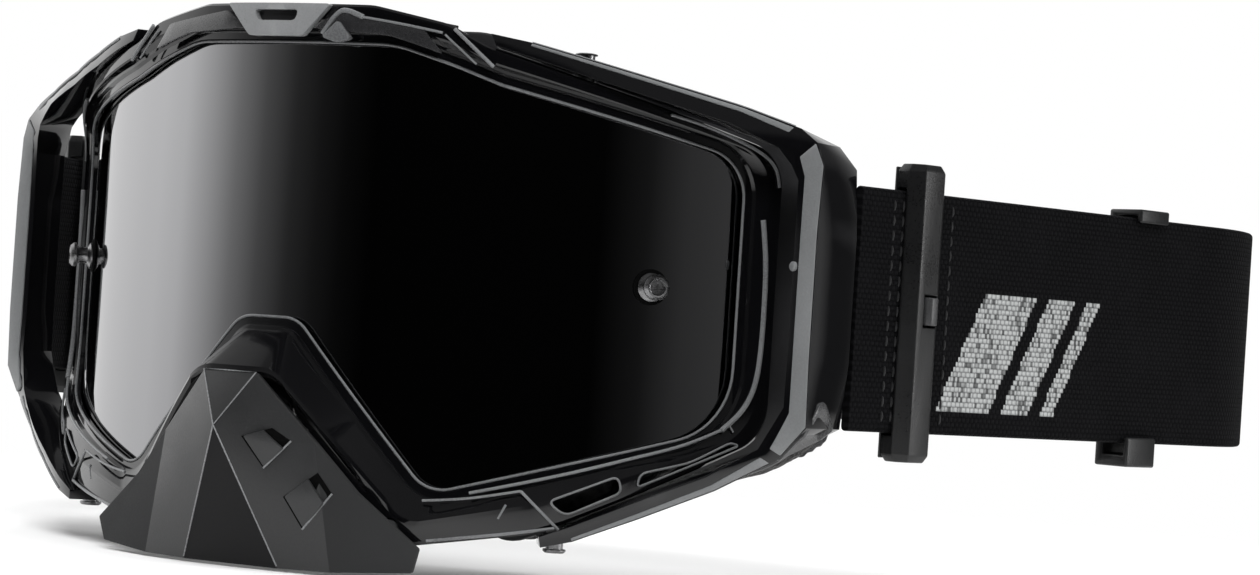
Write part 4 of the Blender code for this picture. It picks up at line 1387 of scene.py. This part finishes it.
def make_clasps():
    cover = [(-6.4, -1.2), (-6.4, 1.8), (-4.2, 3.9), (1, 3.9), (3, 2.2), (3, -1.2)]
    base = [(-6.2, -1.55), (2.8, -1.55), (2.8, -2), (1.4, -3), (-4.6, -3), (-6.2, -2)]
    slot = [(-9, -6), (-9, 1.25), (9, 1.25), (9, -6)]
    window = [(-2.4, 0), (-2.4, 9), (1.4, 9), (1.4, 0)]
    button = [(-2, 2.4), (-2, 4.2), (-1.3, 4.8), (0.3, 4.8), (1, 4.2), (1, 2.4)]
    low = CLASP_BOTTOM - STRAP_HEIGHT
    high = CLASP_TOP - STRAP_HEIGHT
    half_slot = STRAP_WIDTH / 2 + 0.5
    for side, label in SIDES:
        sections = [
            [strap_point(side, (u + 1.7) * t - 1.7, n * t + (1 - t) * 0.6, z) for u, n in cover]
            for z, t in ((low, 0.8), (low + 1.3, 1), (high - 1.3, 1), (high, 0.8))
        ]
        body = solid(loft(sections), f"clasp_body_{label}", [CLASP_PAINT])
        cut_away(body, [
            solid(strap_prism(side, slot, -half_slot, half_slot), "slot_cut", [CLASP_PAINT]),
            solid(strap_prism(side, window, -2.6, 3.4), "window_cut", [CLASP_PAINT]),
        ])
        bevelled(body, 0.6, 4, 22, 32)
        place(body, "root", "clasp_grey", f"clasp_cover_{label}")
        piece(strap_prism(side, base, low + 0.6, high - 0.6), f"clasp_plate_{label}", CLASP_PAINT,
              "root", "clasp_grey", f"clasp_base_{label}", bevel=(0.3,))
        piece(strap_prism(side, button, -2.2, 3), f"latch_{label}", LATCH,
              f"clasp_latch_{label}", "latch_grey", f"clasp_latch_{label}", bevel=(0.3, 3))


def make_sliders():
    top = STRAP_WIDTH / 2 + 0.4
    bottom = -STRAP_WIDTH / 2 - 2.4
    section = [
        (-5.8, -27.2), (2.4, -27.2), (2.4, bottom + 3.6), (1.3, bottom + 3.6),
        (1.3, bottom), (-3.9, bottom), (-3.9, top), (1.3, top), (1.3, top - 1.4),
        (2.4, top - 1.4), (2.4, 24.2), (-5.8, 24.2),
    ]
    ends = (SLIDER_PLACE - SLIDER_LENGTH / 2, SLIDER_PLACE + SLIDER_LENGTH / 2)
    for side, label in SIDES:
        bm = loft([[strap_point(side, u, n, z) for n, z in section] for u in ends])
        piece(bm, f"slider_{label}", CLASP_PAINT, f"strap_slider_{label}", "clasp_grey",
              f"strap_slider_{label}", bevel=(0.45, 3))


# ---- stage

# Brightness of the studio round the object, by bearing from straight ahead
# towards the lens's left (degrees), close to the horizon
HORIZON_LIGHT = (
    (-180, 0.5), (-158, 0.2), (-145, 0.05), (-131, 0.06), (-122, 0.62), (-112, 0.5),
    (-98, 0.16), (-82, 0.14), (-70, 0.1), (-60, 0.03), (-48, 0.004), (10, 0.003),
    (18, 0.012), (25, 0.03), (33, 0.075), (42, 0.24), (51, 0.58), (60, 1.15),
    (70, 1.72), (80, 1.86), (95, 1.74), (115, 1.42), (140, 1.15), (180, 0.5),
)
HIGH_LIGHT = 0.16
LOW_LIGHT = 0.05


def make_world():
    """Studio walls: a bright one on the left that fades towards the front."""
    world = bpy.data.worlds.new("studio")
    bpy.context.scene.world = world
    world.use_nodes = True
    studio = Nodes(world.node_tree)

    def fade(low, high, out_low, out_high):
        """Strength that changes between two slopes, given in degrees above the horizon."""
        low, high = sin(radians(low)), sin(radians(high))
        return studio.range(rise, low, high, out_low, out_high, interpolation_type="SMOOTHSTEP")

    direction = studio.node("TexCoord").outputs["Generated"]
    x, y, rise = studio.node("SeparateXYZ", {0: direction}).outputs
    bearing = studio.math("ARCTAN2", studio.times(x, -1), studio.times(y, -1))
    turn = studio.plus(studio.math("DIVIDE", bearing, 2 * pi), 0.5)
    ramp = studio.node("ValToRGB", {0: turn})
    stops = ramp.color_ramp.elements
    peak = max(value for _, value in HORIZON_LIGHT)
    for angle, _ in HORIZON_LIGHT[1:-1]:
        stops.new((angle + 180) / 360)
    for stop, (_, value) in zip(stops, HORIZON_LIGHT):
        stop.color = (value / peak, value / peak, value / peak, 1)
    wall = studio.times(studio.times(ramp.outputs["Color"], peak), fade(26, 74, 1, 0))
    wall = studio.times(wall, fade(-30, -8, 0.05, 1))
    floor = studio.range(rise, -0.6, -0.3, LOW_LIGHT, 0, interpolation_type="SMOOTHSTEP")
    total = studio.math("MAXIMUM", wall, fade(10, 24, 0, HIGH_LIGHT))
    background = studio.tree.nodes["Background"]
    white = (1, 1, 1, 1)
    studio.feed(background.inputs["Strength"], studio.math("MAXIMUM", total, floor))
    studio.feed(background.inputs["Color"], white)
    backdrop = studio.node("Background", {"Color": white})
    seen = studio.node("LightPath").outputs["Is Camera Ray"]
    choose = studio.node("MixShader", {0: seen, 1: background.outputs[0], 2: backdrop.outputs[0]})
    studio.feed(studio.tree.nodes["World Output"].inputs["Surface"], choose.outputs[0])


FLOOR_CENTRE = (0, 0.03)
FLOOR_RADIUS = 1.5
FLOOR_DROP = 0.5


def make_stage():
    """Pale floor whose edge melts into the backdrop, just under the object."""
    bm = bmesh.new()
    height = CAD_BOX[0][2] - FLOOR_DROP * MM
    bm.faces.new([bm.verts.new((x, y, height)) for x, y in circle(*FLOOR_CENTRE, FLOOR_RADIUS, 64)])
    solid(bm, "floor", [floor_paint()])
    make_world()


def area_light(name, place_at, target, size, watts, mirrored=False):
    """Rectangular lamp, hidden from the camera; mirrored ones show in gloss."""
    data = bpy.data.lights.new(name, "AREA")
    data.shape = "RECTANGLE"
    data.size, data.size_y = size
    data.energy = watts
    lamp = bpy.data.objects.new(name, data)
    bpy.context.scene.collection.objects.link(lamp)
    lamp.location = place_at
    lamp.rotation_euler = (Vector(target) - Vector(place_at)).to_track_quat("-Z", "Y").to_euler()
    lamp.visible_camera = False
    lamp.visible_glossy = mirrored


def make_lights():
    origin = (0, 0, 0)
    area_light("overhead", (0.02, 0.02, 0.9), origin, (1.1, 1.1), 10)
    area_light("front_high", (0.5, -0.8, 0.75), origin, (0.6, 0.3), 10)
    area_light("right_strip", (0.8, 0.22, 0.1), (0.08, 0, 0), (0.06, 0.6), 2, mirrored=True)
    area_light("rear", (0.1, 1.1, 0.6), origin, (0.9, 0.4), 8)


# Camera, fitted to the standard view: degrees, and millimetres from the origin
CAMERA_AZIMUTH = 29.4
CAMERA_ELEVATION = -0.93
CAMERA_ROLL = 3.78
CAMERA_DISTANCE = 599.17
CAMERA_RIGHT = 65.19
CAMERA_UP = -1.05
CAMERA_LENS = 93.03
CAMERA_SENSOR = 36


def make_camera():
    azimuth, elevation, roll = (radians(v) for v in (CAMERA_AZIMUTH, CAMERA_ELEVATION, CAMERA_ROLL))
    back = Vector((sin(azimuth) * cos(elevation), -cos(azimuth) * cos(elevation), sin(elevation)))
    level = Vector((cos(azimuth), sin(azimuth), 0))
    upright = level.cross(-back)
    right = cos(roll) * level + sin(roll) * upright
    up = -sin(roll) * level + cos(roll) * upright
    data = bpy.data.cameras.new("camera")
    data.sensor_width = CAMERA_SENSOR
    data.lens = CAMERA_LENS
    data.clip_start = 0.01
    camera = bpy.data.objects.new("camera", data)
    bpy.context.scene.collection.objects.link(camera)
    matrix = Matrix((right, up, back)).transposed().to_4x4()
    eye = back * CAMERA_DISTANCE + level * CAMERA_RIGHT + upright * CAMERA_UP
    matrix.translation = (eye - Vector((0, SEAL_DEPTH, 0))) * MM
    camera.matrix_world = matrix
    bpy.context.scene.camera = camera


bpy.context.scene.view_settings.view_transform = "Standard"
for make in (
    make_camera, make_frame, make_lens, make_posts, make_brow_clip, make_nose_guard, make_vent_foams,
    make_face_side, make_outriggers, make_pivot_pins, make_strap, make_clasps, make_sliders,
    make_stage, make_lights,
):
    make()
